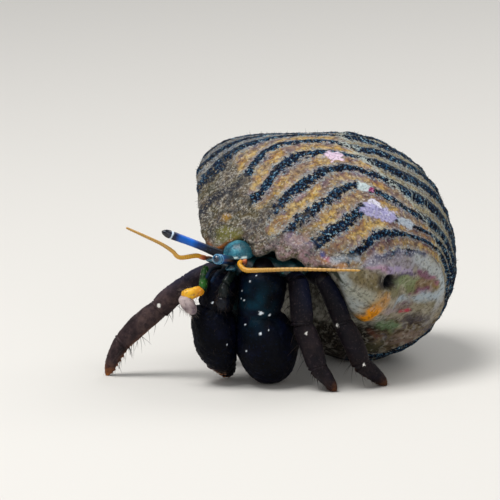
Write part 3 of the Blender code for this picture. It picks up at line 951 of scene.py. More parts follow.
def plateMaterial(name, look):
    # horny plate: dark mottled base, paler specks, a painted blue sheen standing for highlight, a
    # tip colour, pale joint spots and dots
    material, tree, shader = startMaterial(name, look["gloss"], look["coat"], look["specular"])
    middling = grain(tree, 0.3, 4, 5.0)
    base = colours(tree, grain(tree, 1.1, 5, 3.0), look["base"])
    warm = colours(tree, scaled(tree, middling, 0.5,
                              times(tree, grain(tree, 0.9, 5, 8.0), 0.5)),
                   look["warm"])
    base = over(tree, trait(tree, "warmth"), base, warm)
    fine = grain(tree, 0.12, 2, 1.0)
    base = flecked(tree, base, look["speckColour"], look["speck"], fine, 0.58, 0.72)
    # painted sheen: a blue-teal highlight laid into the colour where the sheen trait is set
    base = laid(tree, base, look["sheenColour"], trait(tree, "sheen"), plus(tree, middling, 0.35))
    tipTone = colours(tree, middling, look["tip"])
    tipAmount = times(tree, trait(tree, "tip"), plus(tree, fine, 0.45))
    base = over(tree, tipAmount, base, tipTone)
    base = laid(tree, base, "8d8478", trait(tree, "grime"), rise(tree, fine, 0.42, 0.6))
    base = laid(tree, base, look["dotColour"], trait(tree, "dots"))
    rough = scaled(tree, middling, 0.35, look["gloss"] - 0.15)
    tree.links.new(rough, shader.inputs["Roughness"])
    scales = times(tree, stones(tree, 0.28, 2.0), 0.7)
    finish(tree, shader, base, plus(tree, scales, grain(tree, 0.15, 4)), look["bump"], 0.05)
    return material


legLook = {
    "gloss": 0.55, "coat": 0.0, "specular": 0.12,
    "base": [(0.3, "000005"), (0.5, "02030b"), (0.7, "080714")],
    "warm": [(0.3, "160f12"), (0.48, "322628"), (0.68, "52413e")],
    "speck": 0.16, "speckColour": "6a5a5c", "sheenColour": "16264c",
    "tip": [(0.35, "5c2c12"), (0.6, "a5642c")], "dotColour": "e4e2dc", "bump": 0.5,
}


def legSegment(leg, index):
    path = walkingLegs["paths"][leg]
    part = walkingLegs["parts"][index]
    start, end = (np.array(path[index + k], float) for k in (0, 1))
    side = legSide(path)
    forward = unit(end - start)
    upward = unit(np.cross(side, forward))
    upward = upward * np.sign(upward[2] + 1e-6)
    start = start - forward * 0.34
    if part != "dactyl":
        end = end + forward * 0.22
    bow = upward * walkingLegs["bow"][part]
    middle = (start + end) / 2 + bow
    nearEnd = start * 0.2 + end * 0.8 + bow * 0.6
    nearStart = start * 0.8 + end * 0.2 + bow * 0.6
    caps = (0.12, 0.3) if part == "dactyl" else (0.1, 0.08)
    stout = walkingLegs["stout"].get(leg, (1, 1, 1, 1))[index]
    form = limbForm([start, nearStart, middle, nearEnd, end],
                    stout * np.array(walkingLegs["radii"][part]), *walkingLegs["grid"], side,
                    walkingLegs["flat"], caps)
    return form, part


def dressLeg(form, part, leg, seed):
    share, around, points = form["share"], form["around"], form["points"]
    ripple = roughness(points, 0.9, seed) * 0.06 + roughness(points, 0.3, seed + 4) * 0.025
    collar = 0.07 * hill(share, 0.93, 0.025) - 0.06 * hill(share, 0.885, 0.018)
    if part == "dactyl":
        collar = 0.05 * hill(share, 0.12, 0.03)
    keel = 0.06 * np.clip(np.sin(around), 0, 1) ** 6 * np.sin(np.pi * share)
    near = knobs(form, walkingLegs["knobs"], 0.08, 0.9)
    press(form, ripple + collar + keel + 0.03 * hill(near, 0, 0.1))
    spines = 0
    if part == "dactyl":
        # a row of horny spines along the underside
        spines = np.abs(np.sin(share * np.pi * 9)) ** 8 * hill(around, 1.5 * np.pi, 0.28)
        press(form, 0.13 * spines * ease(share, 0.2, 0.35) * (1 - ease(share, 0.88, 0.95)))
    form["points"][..., 2] = np.maximum(form["points"][..., 2], walkingLegs["floor"])
    height = points[..., 2]
    warmth = walkingLegs["warmth"][leg] * (0.35 + 0.65 * ease(9.5 - height, 0, 4))
    if leg == "front_leg_right":
        warmth = 0.45 + 0.55 * ease(11.0 - height, 0, 2.0)
    under = hill(around, 1.5 * np.pi, 0.5) * 0.5 * walkingLegs["warmth"][leg]
    tip = 0.55 * spines + under * ease(7.5 - height, 0, 4)
    if part == "dactyl":
        tip = np.maximum(tip, ease(share, 0.55, 0.98) * (0.15 + 0.85 * warmth))
    # sheen: painted highlight on the upper edge, stronger higher up
    return {"warmth": warmth, "tip": tip, "grime": 0,
            "sheen": 0.35 * hill(around, np.pi / 2, 0.9) * ease(height, 7, 11)}


def buildLegs():
    material = plateMaterial("leg_plate", legLook)
    membranes = []
    forms = {}
    for leg, path in walkingLegs["paths"].items():
        for index in range(4):
            form, part = legSegment(leg, index)
            traits = dressLeg(form, part, leg, index * 3 + 1)
            # uneven white spots on the faces of the joints
            gaps = [gapTo(form["points"], spot) for spot in walkingLegs["spots"]]
            gap = np.min(gaps, axis=0) + 0.14 * cloud(form["points"], 0.15, 3)
            traits["dots"] = ease(gap, 0.22, 0.12)
            node = f"{leg}_{part}"
            addLimb(node + "_plate", form, traits, material, node)
            forms[node] = form
            if index:
                size = 0.86 * walkingLegs["radii"][part][0]
                membranes.append(egg(path[index], np.eye(3) * size, 16, 24))
    print("legs")
    return membranes, forms


# claws
claws = {
    "arms": {"right": [(-4.9, -15.6, 9.9), (-4.2, -18.1, 11.5), (-5.0, -19.0, 7.8)],
             "left": [(-2.6, -13.2, 9.4), (-0.6, -16.1, 11.9), (-1.0, -16.7, 6.7)]},
    "armRadii": {"right": (1.65, 2.0), "left": (2.75, 2.15)},
    "hands": {"right": [(-4.9, -18.9, 8.5), (-4.95, -19.1, 7.2), (-4.6, -19.2, 5.3),
                        (-4.7, -18.5, 3.3), (-4.9, -17.1, 1.6), (-5.2, -16.0, 0.3)],
              "left": [(-1.2, -16.5, 8.2), (-1.0, -16.5, 7.2), (-0.3, -16.2, 4.9),
                       (-0.4, -15.4, 3.0), (-0.7, -14.3, 1.5), (-0.9, -13.8, 0.6)]},
    "handRadii": {"right": (1.8, 2.3, 2.4, 2.0, 1.2, 0.65),
                  "left": (1.8, 2.45, 3.35, 3.15, 2.3, 1.25)},
    # glow: painted highlight, its place, width and strength on each claw
    "glow": {"right": ((-2.6, -19.9, 9.4), 1.2, 0.25), "left": ((-0.1, -18.9, 9.0), 2.2, 1.0)},
    "gape": {"right": 1.34, "left": 1.1},      # where the fingers part, in half turns
    "front": (0.5, -0.84, 0.2),                # the way that the outer faces look
    "grid": {"palm": (170, 200), "arm": (110, 130)},
    "knobs": {"palm": 260, "arm": 120},
    "floor": 0.02,
}
clawLook = {
    "gloss": 0.55, "coat": 0.0, "specular": 0.07,
    "base": [(0.3, "000003"), (0.5, "01020a"), (0.68, "04071a")],
    "warm": [(0.3, "030409"), (0.5, "0c0a11"), (0.7, "241b1a")],
    "speck": 0.2, "speckColour": "12264a", "sheenColour": "063040",
    "tip": [(0.35, "6b3a1c"), (0.5, "b06c3c"), (0.65, "c9b8a6")], "dotColour": "dfe8f0",
    "bump": 0.6,
}
# pale flecks on the claws: place and half width
flecks = [((-1.4, -18.9, 10.4), 0.1), ((-1.4, -19.0, 9.6), 0.1), ((-1.0, -19.1, 9.5), 0.11),
          ((-3.9, -20.7, 9.1), 0.16), ((-3.3, -20.8, 8.4), 0.1), ((0.7, -18.5, 8.2), 0.22),
          ((1.25, -17.7, 7.9), 0.14), ((-0.95, -19.0, 6.9), 0.09), ((1.6, -18.4, 6.5), 0.1),
          ((1.0, -19.0, 6.1), 0.15), ((-0.4, -18.9, 11.5), 0.11), ((0.0, -18.3, 12.1), 0.09),
          ((-2.5, -20.1, 4.7), 0.09), ((-0.4, -19.5, 4.2), 0.09), ((0.3, -19.5, 5.3), 0.09)]


def dressClaw(form, side, part, seed):
    share, points = form["share"], form["points"]
    front = np.clip(form["normals"] @ unit(claws["front"]), 0, 1)
    lumps = roughness(points, 1.3, seed) * 0.16 + roughness(points, 0.4, seed + 5) * 0.035
    near = knobs(form, claws["knobs"]["palm" if part == "palm" else "arm"], 0.05, 0.95)
    height = lumps + 0.06 * hill(near, 0, 0.16)
    tip, grime, dots = 0, 0, 0
    if part == "palm":
        # the fingers: a deep gap between them with blunt teeth, and rows of granules
        fingers = ease(share, 0.56, 0.66)
        bend = claws["gape"][side] * np.pi + 0.25 * np.sin(share * 9)
        offset = (form["around"] - bend + np.pi) % (2 * np.pi) - np.pi
        cut = hill(offset + 0.16 * np.sin(share * 60), 0, 0.2) * fingers
        grains = pebbles(points, 0.34, seed)
        edges = fingers * hill(np.abs(offset), 0.42, 0.36)
        height = height - 0.6 * cut * (1 - ease(share, 0.97, 1))
        height = height + 0.16 * (0.3 * fingers + edges) * (0.5 - grains)
        tip = edges * ease(0.6 - grains, 0, 0.3) * ease(share, 0.6, 0.75)
        tip = np.maximum(tip, 0.35 * ease(share, 0.86, 0.97) * fingers)
        grime = 0.5 * edges * ease(roughness(points, 0.35, 5), 0.1, 0.4)
    uneven = 0.6 * cloud(points, 0.14, 7)
    for place, half in flecks:
        gap = gapTo(points, place)
        height = height + 0.07 * hill(gap, 0, half)
        dots = np.maximum(dots, ease(gap + half * uneven, half * 1.1, half * 0.6))
    press(form, height)
    form["points"][..., 2] = np.maximum(form["points"][..., 2], claws["floor"])
    # painted highlight on the faces that look out, near the glow's place
    place, wide, bright = claws["glow"][side]
    sheen = bright * hill(gapTo(points, place), 0, wide) * front
    sheen = sheen * ease(cloud(points, 0.9, seed + 9), -0.8, 0.6)
    return {"warmth": 0.3 * ease(share, 0.5, 0.9), "tip": tip, "sheen": sheen, "dots": dots,
            "grime": grime}


def buildClaws():
    material = plateMaterial("claw_plate", clawLook)
    membranes, forms = [], {}
    for side, arm in claws["arms"].items():
        near, far = claws["armRadii"][side]
        arm = np.array(arm, float)
        across = np.array((1.0, 0.1, 0.0))
        shapes = {
            "merus": ([arm[0], (arm[0] + arm[1]) / 2, arm[1]],
                      (near * 0.6, near * 0.8, near * 0.8), (0.1, 0.14)),
            "carpus": ([arm[1] + (arm[1] - arm[2]) * 0.1,
                        (arm[1] + arm[2]) / 2 + unit(claws["front"]) * 0.25, arm[2]],
                       (near * 0.95, (near + far) * 0.51, far * 0.92), (0.22, 0.2)),
            "palm": (claws["hands"][side], claws["handRadii"][side], (0.1, 0.12)),
        }
        for part, (path, radii, caps) in shapes.items():
            grid = claws["grid"]["palm" if part == "palm" else "arm"]
            form = limbForm(path, radii, *grid, across, 0.97, caps)
            traits = dressClaw(form, side, part, 11 if side == "left" else 23)
            node = f"claw_{side}_{part}"
            forms[node] = form
            addLimb(node + "_plate", form, traits, material, node)
        for joint, size in ((arm[1], near * 0.6), (arm[2], far * 0.6)):
            membranes.append(egg(joint, np.eye(3) * size, 20, 30))
    print("claws")
    return membranes, forms


# head
eyestalks = {
    "right": {"base": (-3.9, -18.9, 13.9), "tip": (-8.0, -24.0, 16.8)},
    "left": {"base": (-2.6, -19.1, 13.5), "tip": (-0.9, -24.3, 14.8)},
    "corneaShare": 0.13,
    "radii": {"right": (0.56, 0.46, 0.41, 0.4, 0.42, 0.44),
              "left": (0.56, 0.5, 0.46, 0.47, 0.52, 0.56)},
    "lens": {"right": [(0.0, "0c1f4e"), (0.4, "060c22"), (1.0, "03050c")],
             "left": [(0.0, "0a4c86"), (0.4, "1260a0"), (0.64, "5290ae"), (0.76, "2c6c90"),
                      (0.9, "082c48"), (1.0, "061c30")]},
    "tones": {"right": [(0.0, "03060e"), (0.34, "030a1c"), (0.48, "013270"), (0.6, "0066cc"),
                        (0.8, "0058b8"), (0.9, "021440"), (0.95, "040c2a"), (0.965, "d3e4f2")],
              "left": [(0.0, "04060c"), (0.4, "040a1c"), (0.7, "062a5c"), (0.88, "0a3f7c"),
                       (0.95, "1a6aa4"), (0.972, "9ad4e6")]},
}


def stalkMaterial(side):
    material, tree, shader = startMaterial(f"eyestalk_{side}_tone", 0.36, 0.12, 0.3)
    place = wavering(tree, "share", 0.4, 0.08)
    base = colours(tree, place, eyestalks["tones"][side])
    base = flecked(tree, base, "2a78d8", 0.2, grain(tree, 0.1, 3, 4.0), 0.6, 0.75)
    finish(tree, shader, base, grain(tree, 0.18, 4, 2.0), 0.3, 0.03)
    return material


def corneaMaterial(side):
    material, tree, shader = startMaterial(f"cornea_{side}_lens", 0.15, 0.4, 0.4)
    facets = stones(tree, 0.07, 1.0)
    place = wavering(tree, "share", 0.3, 0.24)
    base = colours(tree, place, eyestalks["lens"][side])
    base = flecked(tree, base, "020812", 0.4, facets, 0.3, 0.7)
    base = flecked(tree, base, "8fb4dc", 0.5, grain(tree, 0.14, 3, 9.0), 0.62, 0.68)
    finish(tree, shader, base, facets, 0.35, 0.02)
    return material


def buildEyes():
    for side in ("right", "left"):
        skin, lens = stalkMaterial(side), corneaMaterial(side)
        base, tip = (np.array(eyestalks[side][end], float) for end in ("base", "tip"))
        neck = tip + (base - tip) * eyestalks["corneaShare"]
        way = unit(tip - base)
        middle = (base + neck) / 2 + np.array((0, 0, 0.06))
        radii = eyestalks["radii"][side]
        form = limbForm([base - way * 0.3, middle, neck], radii, 120, 56,
                        np.cross(way, (0, 0, 1)), 1.0, (0.06, 0.03))
        collar = 0.03 * hill(form["share"], 0.955, 0.012)
        press(form, roughness(form["points"], 0.25, 3) * 0.01 - collar)
        addLimb(f"eyestalk_{side}_skin", form, {"share": form["share"]}, skin,
                f"eyestalk_{side}")
        ballRadii = np.array((0.96, 1.02, 0.95)) * radii[-1]
        ball = limbForm([neck - way * 0.12, neck + way * 0.3, tip], ballRadii, 50, 56,
                        np.cross(way, (0, 0, 1)), 1.0, (0.1, 0.75))
        addLimb(f"cornea_{side}", ball, {"share": ball["share"]}, lens, f"eye_{side}")
    print("eyes")


shield = {"middle": (-2.45, -18.1, 13.95), "halfWide": 1.75, "halfLong": 1.4, "height": 1.5,
          "slope": 0.12}


def shieldMaterial():
    material, tree, shader = startMaterial("shield_plate", 0.42, 0.1, 0.35)
    base = colours(tree, grain(tree, 0.5, 5, 2.0), [(0.3, "082e3c"), (0.5, "15566a"),
                                                    (0.66, "2f7f92"), (0.8, "78b4bf")])
    base = flecked(tree, base, "7fc0c6", 0.45, stones(tree, 0.16, 3.0), 0.32, 0.18)
    base = flecked(tree, base, "07303c", 0.6, grain(tree, 0.2, 3, 6.0), 0.58, 0.68)
    # painted shade: the upper right of the plate darkened by the dusk trait
    base = laid(tree, base, "083a40", trait(tree, "dusk"), 0.7)
    base = laid(tree, base, "d9f2f2", trait(tree, "edge"))
    base = laid(tree, base, "0a3d45", trait(tree, "back"))
    finish(tree, shader, base, plus(tree, stones(tree, 0.14, 1.0), grain(tree, 0.3, 4)), 0.5, 0.05)
    return material


def buildShield():
    # a domed plate: half a superellipse long and wide, with a blunt point at the front edge
    rows, sides = 70, 140
    north = np.linspace(0.03, np.pi - 0.03, rows)[:, None]
    east = np.linspace(0, 2 * np.pi, sides, endpoint=False)[None, :]
    reach = np.sin(north)
    point = (1 + 0.14 * hill(east, 1.5 * np.pi, 0.16) + 0.05 * hill(east, 1.28 * np.pi, 0.14)
             + 0.05 * hill(east, 1.72 * np.pi, 0.14))
    x = shield["halfWide"] * reach * np.cos(east) * point
    y = shield["halfLong"] * reach * np.sin(east) * point
    top = np.cos(north)
    z = np.where(top > 0, shield["height"], 0.25) * top + shield["slope"] * y
    points = np.stack([x, y, z], axis=-1) + np.array(shield["middle"])
    groove = 0.06 * hill(np.abs(x), 0.75, 0.12) * hill(y, 0.2, 0.8) + 0.05 * hill(y, 0.75, 0.14)
    points[..., 2] -= groove * (top > 0)
    points[..., 2] += roughness(points, 0.4, 8) * 0.03
    edge = ease(-np.sin(east), 0.1, 0.6) * hill(top, 0.1, 0.07)
    edge = edge * ease(roughness(points, 0.5, 4), -0.25, 0.1)
    front = ease(-np.sin(east), 0.1, 0.5) * (1 - ease(top, -0.08, 0.06))
    back = ease(np.sin(east) * reach, 0.1, 0.8)
    # dusk: painted shade toward the upper right
    traits = {"edge": edge, "back": np.maximum(back, front),
              "dusk": ease(x / shield["halfWide"] + 0.9 * top, 0.5, 1.5)}
    addPiece("front_shield", closedTube(points, traits), shieldMaterial(),
             ["carapace_shield"])
    print("shield")


acicles = {"bases": {"right": (-3.9, -18.75, 13.2), "left": (-2.3, -19.0, 12.75)},
           "tips": {"right": (-4.9, -20.5, 13.5), "left": (-2.0, -20.9, 12.95)},
           "radii": (0.3, 0.36, 0.12), "flat": 1.15}


def buildAcicles():
    # spiny scales beside the eyes, with a saw edge
    material, tree, shader = startMaterial("acicle_scale", 0.35, 0.4)
    tone = colours(tree, grain(tree, 0.4, 4), [(0.35, "06121c"), (0.6, "0e3a4c")])
    tone = laid(tree, tone, "3c6c7c", trait(tree, "edge"))
    finish(tree, shader, tone, grain(tree, 0.2, 4), 0.4, 0.03)
    for side in ("right", "left"):
        base, tip = (np.array(acicles[end][side]) for end in ("bases", "tips"))
        form = limbForm([base, (base + tip) / 2 + (0, 0, 0.05), tip], acicles["radii"], 60, 48,
                        np.cross(tip - base, (0, 0, 1)), acicles["flat"], (0.2, 0.3))
        sideways = np.abs(np.cos(form["around"]))
        press(form, 0.05 * np.abs(np.sin(form["share"] * 16)) * sideways ** 6)
        edge = ease(sideways, 0.93, 0.99) * ease(form["share"], 0.3, 0.6)
        addLimb(f"acicle_{side}_scale", form, {"edge": edge}, material,
                f"acicle_{side}")
    print("acicles")


# feelers and mouthparts
feelers = {
    "antenna_{}_whip": {
        "node": "antenna_{}", "skin": "feeler_skin", "grid": (420, 20), "caps": (0.01, 0.02),
        "side": (0.3, 0.2, 1.0), "joints": 46, "depth": 0.025,
        "paths": {"right": [(-5.55, -20.1, 13.72), (-5.9, -20.95, 13.95), (-6.6, -22.8, 14.0),
                            (-7.2, -23.3, 14.7), (-8.2, -24.0, 15.5), (-9.7, -25.1, 16.4),
                            (-11.1, -26.1, 17.2)],
                  "left": [(-1.2, -19.2, 13.75), (-1.35, -19.45, 13.35), (-0.6, -19.5, 12.85),
                           (0.7, -19.2, 12.9), (2.2, -19.0, 13.1), (5.2, -18.2, 13.4),
                           (8.5, -17.4, 13.6), (11.9, -16.6, 13.8)]},
        "radii": {"right": (0.2, 0.25, 0.24, 0.22, 0.19, 0.16, 0.12),
                  "left": (0.2, 0.24, 0.27, 0.25, 0.22, 0.2, 0.17, 0.11)}},
    "antenna_{}_base": {
        "node": "antenna_base_{}", "skin": "feeler_base_skin", "grid": (60, 40),
        "caps": (0.2, 0.2), "side": (0.3, 0.2, 1.0), "joints": 2, "depth": 0.06,
        "paths": {"right": [(-5.3, -18.5, 13.2), (-5.5, -19.6, 13.5), (-5.75, -20.75, 13.9)],
                  "left": [(-1.6, -18.2, 12.9), (-1.35, -18.6, 13.4), (-1.12, -19.0, 13.95)]},
        "radii": {"right": (0.24, 0.272, 0.24), "left": (0.3, 0.34, 0.3)}},
    "antennule_{}_stem": {
        "node": "antennule_{}", "skin": "antennule_skin", "grid": (90, 28), "caps": (0.1, 0.1),
        "side": (1, 0, 0), "joints": 3, "depth": 0.04,
        "paths": {"right": [(-3.6, -19.5, 12.8), (-3.9, -20.9, 12.7), (-3.9, -21.9, 11.9)],
                  "left": [(-3.0, -19.6, 12.6), (-3.1, -21.0, 12.4), (-3.2, -22.0, 11.6)]},
        "radii": {"right": (0.26, 0.22, 0.2, 0.14), "left": (0.26, 0.22, 0.2, 0.14)}},
}
# tones from the root to the tip, tone of the joints, roughness, coat and specular
feelerTones = {
    "feeler_skin": ([(0.0, "d0701c"), (0.05, "eba40c"), (0.2, "dca01c"), (0.6, "b88c3a"),
                     (1.0, "b88a34")], "7c4c10", 0.35, 0.3, 0.5),
    # the antennules' near-black tones are painted shade
    "antennule_skin": ([(0.0, "020509"), (0.5, "030a14"), (1.0, "08203a")], "010306", 0.65,
                       0.0, 0.1),
    "feeler_base_skin": ([(0.0, "1c2a2a"), (0.55, "5c3a2a"), (0.8, "c8643c"), (1.0, "e08a5c")],
                         "7c4c10", 0.35, 0.3, 0.5),
}


def feelerMaterial(name):
    stops, joint, dull, coat, specular = feelerTones[name]
    material, tree, shader = startMaterial(name, dull, coat, specular)
    shader.inputs["Subsurface Weight"].default_value = 0.15
    shader.inputs["Subsurface Radius"].default_value = (0.0008, 0.0004, 0.0002)
    place = wavering(tree, "share", 0.5, 0.3)
    base = colours(tree, place, stops)
    base = laid(tree, base, joint, trait(tree, "joint"), 0.45)
    finish(tree, shader, base, grain(tree, 0.12, 3), 0.3, 0.02)
    return material


def buildFeelers():
    materials = {name: feelerMaterial(name) for name in feelerTones}
    for side in ("right", "left"):
        for name, kind in feelers.items():
            form = limbForm(kind["paths"][side], kind["radii"][side], *kind["grid"],
                            kind["side"], 1.0, kind["caps"])
            # the tube is narrower at evenly spaced joints
            joint = np.abs(np.cos(form["share"] * np.pi * kind["joints"])) ** 10
            press(form, -kind["depth"] * joint)
            addLimb(name.format(side), form, {"share": form["share"], "joint": joint},
                    materials[kind["skin"]], kind["node"].format(side))
    print("feelers")


mouthparts = {
    "paths": {"right": [(-5.2, -20.1, 12.7), (-4.7, -21.3, 10.5), (-6.3, -22.7, 9.9),
                        (-5.2, -22.1, 8.2)],
              "left": [(-2.6, -18.8, 12.2), (-2.6, -20.2, 11.2), (-2.6, -20.6, 9.9),
                       (-2.7, -20.4, 8.7)]},
    "parts": ("maxilliped", "maxilliped_palp", "maxilliped_tip"),
    # the left side's dark specks and near-black tones are painted shade: the same parts as on the
    # right, coloured as in shadow
    "speck": {"right": "d8cdb8", "left": "14304a"},
    "radii": ((0.42, 0.48, 0.52), (0.5, 0.62, 0.6), (0.62, 0.78, 0.45)),
    "tones": {"right": ([(0.34, "06200f"), (0.62, "255a1c")], [(0.3, "c9780e"), (0.6, "eeb42a")],
                        [(0.3, "6f5f68"), (0.6, "b7a6a4")]),
              # painted shade: near-black copies of the right side's green, yellow and lilac
              "left": ([(0.3, "01050a"), (0.6, "06140f")], [(0.3, "010409"), (0.6, "0a1412")],
                       [(0.3, "01030a"), (0.6, "0a0e1c")])},
}


def buildMouthparts():
    forms = {}
    for side, path in mouthparts["paths"].items():
        for index, part in enumerate(mouthparts["parts"]):
            material, tree, shader = startMaterial(f"{part}_{side}_skin", 0.45, 0.05, 0.2)
            base = colours(tree, grain(tree, 0.7, 4, index), mouthparts["tones"][side][index])
            base = flecked(tree, base, mouthparts["speck"][side], 0.25, grain(tree, 0.12, 3),
                           0.58, 0.7)
            finish(tree, shader, base, grain(tree, 0.2, 4), 0.4, 0.04)
            start, end = (np.array(path[index + k], float) for k in (0, 1))
            way = unit(end - start)
            middle = (start + end) / 2 + np.array((0, -0.12, 0))
            form = limbForm([start - way * 0.15, middle, end + way * 0.15],
                            mouthparts["radii"][index], 60, 48, (1, 0, 0), 0.85, (0.2, 0.2))
            press(form, roughness(form["points"], 0.35, index) * 0.04)
            addLimb(f"{part}_{side}_skin", form, {}, material, f"{part}_{side}")
            forms[f"{part}_{side}"] = form
    print("mouthparts")
    return forms


# soft skin
def skinMaterial():
    material, tree, shader = startMaterial("soft_skin", 0.45, 0.4)
    base = colours(tree, grain(tree, 0.9, 5, 4.0), [(0.32, "031016"), (0.5, "06262c"),
                                                    (0.68, "0c4a50")])
    base = flecked(tree, base, "3b8f92", 0.4, grain(tree, 0.12, 3, 7.0), 0.6, 0.72)
    finish(tree, shader, base, grain(tree, 0.35, 5, 1.0), 0.6, 0.08)
    return material


def membraneMaterial():
    material, tree, shader = startMaterial("joint_skin", 0.5, 0.05, 0.2)
    base = colours(tree, grain(tree, 0.4, 5, 2.0), [(0.32, "040308"), (0.5, "0d0910"),
                                                    (0.68, "241a1c")])
    finish(tree, shader, base, grain(tree, 0.2, 4, 1.0), 0.5, 0.05)
    return material


# path, radii, rows, sides, sideways direction, flatness and caps of each part
body = {
    "trunk": ([(-3.2, -18.4, 12.6), (-3.2, -17.2, 12.7), (-3.1, -15.6, 12.8), (-3.1, -13.4, 13.3),
               (-3.5, -11.4, 14.3), (-3.9, -9.8, 15.3), (-4.0, -8.6, 16.2)],
              (0.7, 1.25, 1.45, 2.0, 3.4, 3.4, 2.1), 60, 60, (1, 0, 0), 1.65, (0.08, 0.1)),
    "flank": ([(-4.5, -15.2, 12.6), (-1.5, -15.6, 12.6), (1.5, -14.6, 12.4), (3.4, -13.2, 12.2)],
              (0.9, 1.15, 1.1, 0.7), 50, 40, (0, 0, 1), 1.0, (0.2, 0.2)),
    "apron": ([(-3.9, -15.9, 12.0), (-4.2, -15.4, 9.4), (-4.5, -15.0, 5.0)],
              (1.2, 1.5, 0.8), 50, 40, (1, 0, 0), 1.3, (0.2, 0.2)),
    "voxel": 0.14,
}


def buildBody(membranes):
    forms = [limbForm(*body[part]) for part in ("trunk", "flank", "apron")]
    parts = [closedTube(form["points"]) for form in forms]
    skin, normals = oneSkin("skin_form", joined(parts), body["voxel"], 3)
    points = skin["points"]
    folds = np.sin(points[:, 1] * 5 + 2 * cloud(points, 1.5, 3)) * 0.05
    skin["points"] = points + normals * (roughness(points, 0.6, 5) * 0.08 + folds)[:, None]
    material = skinMaterial()
    addPiece("soft_body", skin, material, ["thorax"])
    addPiece("joint_membranes", joined(membranes), membraneMaterial())
    print("soft body", len(points), "points")


legMembranes, legForms = buildLegs()
clawMembranes, clawForms = buildClaws()
buildEyes()
buildShield()
buildAcicles()
buildFeelers()
mouthForms = buildMouthparts()
buildBody(legMembranes + clawMembranes)


# hairs: thin curved cones, each with its own small patch of the map
hairs = {
    "patch": 0.003,                    # share of the map taken by one hair
    # count, length and its spread, thickness, lean toward the foot, middle and spread of the
    # turn round the limb, first and last share
    "legUnder": (15, 1.4, 0.4, 0.03, 0.35, 1.5, 0.14, 0.15, 0.97),
    "legOver": (80, 0.22, 0.1, 0.014, 0.6, 0.5, 1.0, 0.05, 0.97),
    "dactylUnder": (20, 0.8, 0.35, 0.028, 0.5, 1.5, 0.25, 0.05, 0.85),
    "clawEdge": (200, 0.22, 0.1, 0.014, 0.4, 1.6, 1.0, 0.1, 0.95),
    "mouth": (42, 0.5, 0.2, 0.018, 0.5, 1.5, 0.5, 0.2, 0.98),
}
turf = {"count": 9000, "length": 0.16, "longest": 0.42, "thick": 0.024,
        "tones": [(0.0, "0a1420"), (0.3, "1f3040"), (0.55, "4a4c44"), (0.8, "7c7a68"),
                  (0.94, "a5a89e"), (1.0, "dadcd6")]}


def cones(roots, ways, bends, lengths, thick, places, rings=7, sides=5):
    # rings of points along a parabola from each root, thinner toward the tip
    count = len(roots)
    step = np.linspace(0, 1, rings)[None, :, None]
    centre = (roots[:, None] + lengths[:, None, None]
              * (ways[:, None] * step + bends[:, None] * step ** 2 * 0.4))
    sideways = unit(np.cross(ways, (0.31, 0.27, 0.91)))
    other = np.cross(ways, sideways)
    turn = 2 * np.pi * np.arange(sides) / sides
    ring = (sideways[:, None, None] * np.cos(turn)[None, None, :, None]
            + other[:, None, None] * np.sin(turn)[None, None, :, None])
    radius = thick * (0.1 + 0.9 * (1 - step[..., None]) ** 0.8)
    points = centre[:, :, None] + ring * radius
    ends = np.stack([centre[:, 0], centre[:, -1]], axis=1)
    everything = np.concatenate([points.reshape(count, -1, 3), ends], axis=1).reshape(-1, 3)
    quads, fans = ringFaces(rings, sides)
    shift = (np.arange(count) * (rings * sides + 2))[:, None, None]
    lengthwise = np.concatenate([np.repeat(np.linspace(0, 1, rings), sides), (0, 1)])
    across = np.concatenate([np.tile(np.arange(sides) / sides, rings), (0.5, 0.5)])
    patch = (np.stack([across, lengthwise], axis=-1) - 0.5) * hairs["patch"]
    part = {"points": everything, "quads": (quads + shift).reshape(-1, 4),
            "fans": (fans + shift).reshape(-1, 3), "traits": {"along": np.tile(lengthwise, count)},
            "unwrap": (places[:, None] + patch).reshape(-1, 2)}
    return facingOut(part)


def hairsOn(form, kind, tile, tiles):
    count, length, spread, thick, lean, middle, width, low, high = hairs[kind]
    share = dice.uniform(low, high, count)
    turn = (middle + dice.normal(0, width, count)) * np.pi % (2 * np.pi)
    rows, sides = form["points"].shape[:2]
    row = np.searchsorted(form["share"][:, 0], share).clip(0, rows - 1)
    column = (turn / (2 * np.pi) * sides).astype(int) % sides
    normal, forward = form["normals"][row, column], form["forward"][row]
    ways = unit(normal * (1 - lean) + forward * lean + dice.normal(0, 0.16, (count, 3)))
    bends = forward * dice.uniform(0.2, 1.0, (count, 1)) + dice.normal(0, 0.15, (count, 3))
    lengths = np.clip(length + dice.normal(0, spread, count), length * 0.4, None)
    roots = form["points"][row, column] - normal * 0.04
    floorGap = roots[:, 2] + ways[:, 2] * lengths
    lengths = np.where(floorGap < 0.03, lengths * 0.35, lengths)
    places = np.stack([(tile + 0.05 + 0.9 * turn / (2 * np.pi)) / tiles, 0.05 + 0.9 * share],
                      axis=-1)
    part = cones(roots, ways, bends, lengths, thick, places)
    part["points"][:, 2] = np.maximum(part["points"][:, 2], 0.01)
    return part


def hairMaterial(name, dark, pale):
    material, tree, shader = startMaterial(name, 0.45, 0.0, 0.3)
    place = wavering(tree, "along", 0.3, 0.4)
    base = colours(tree, place, [(0.2, dark), (0.95, pale)])
    finish(tree, shader, base, grain(tree, 0.1, 2), 0.2, 0.01)
    return material


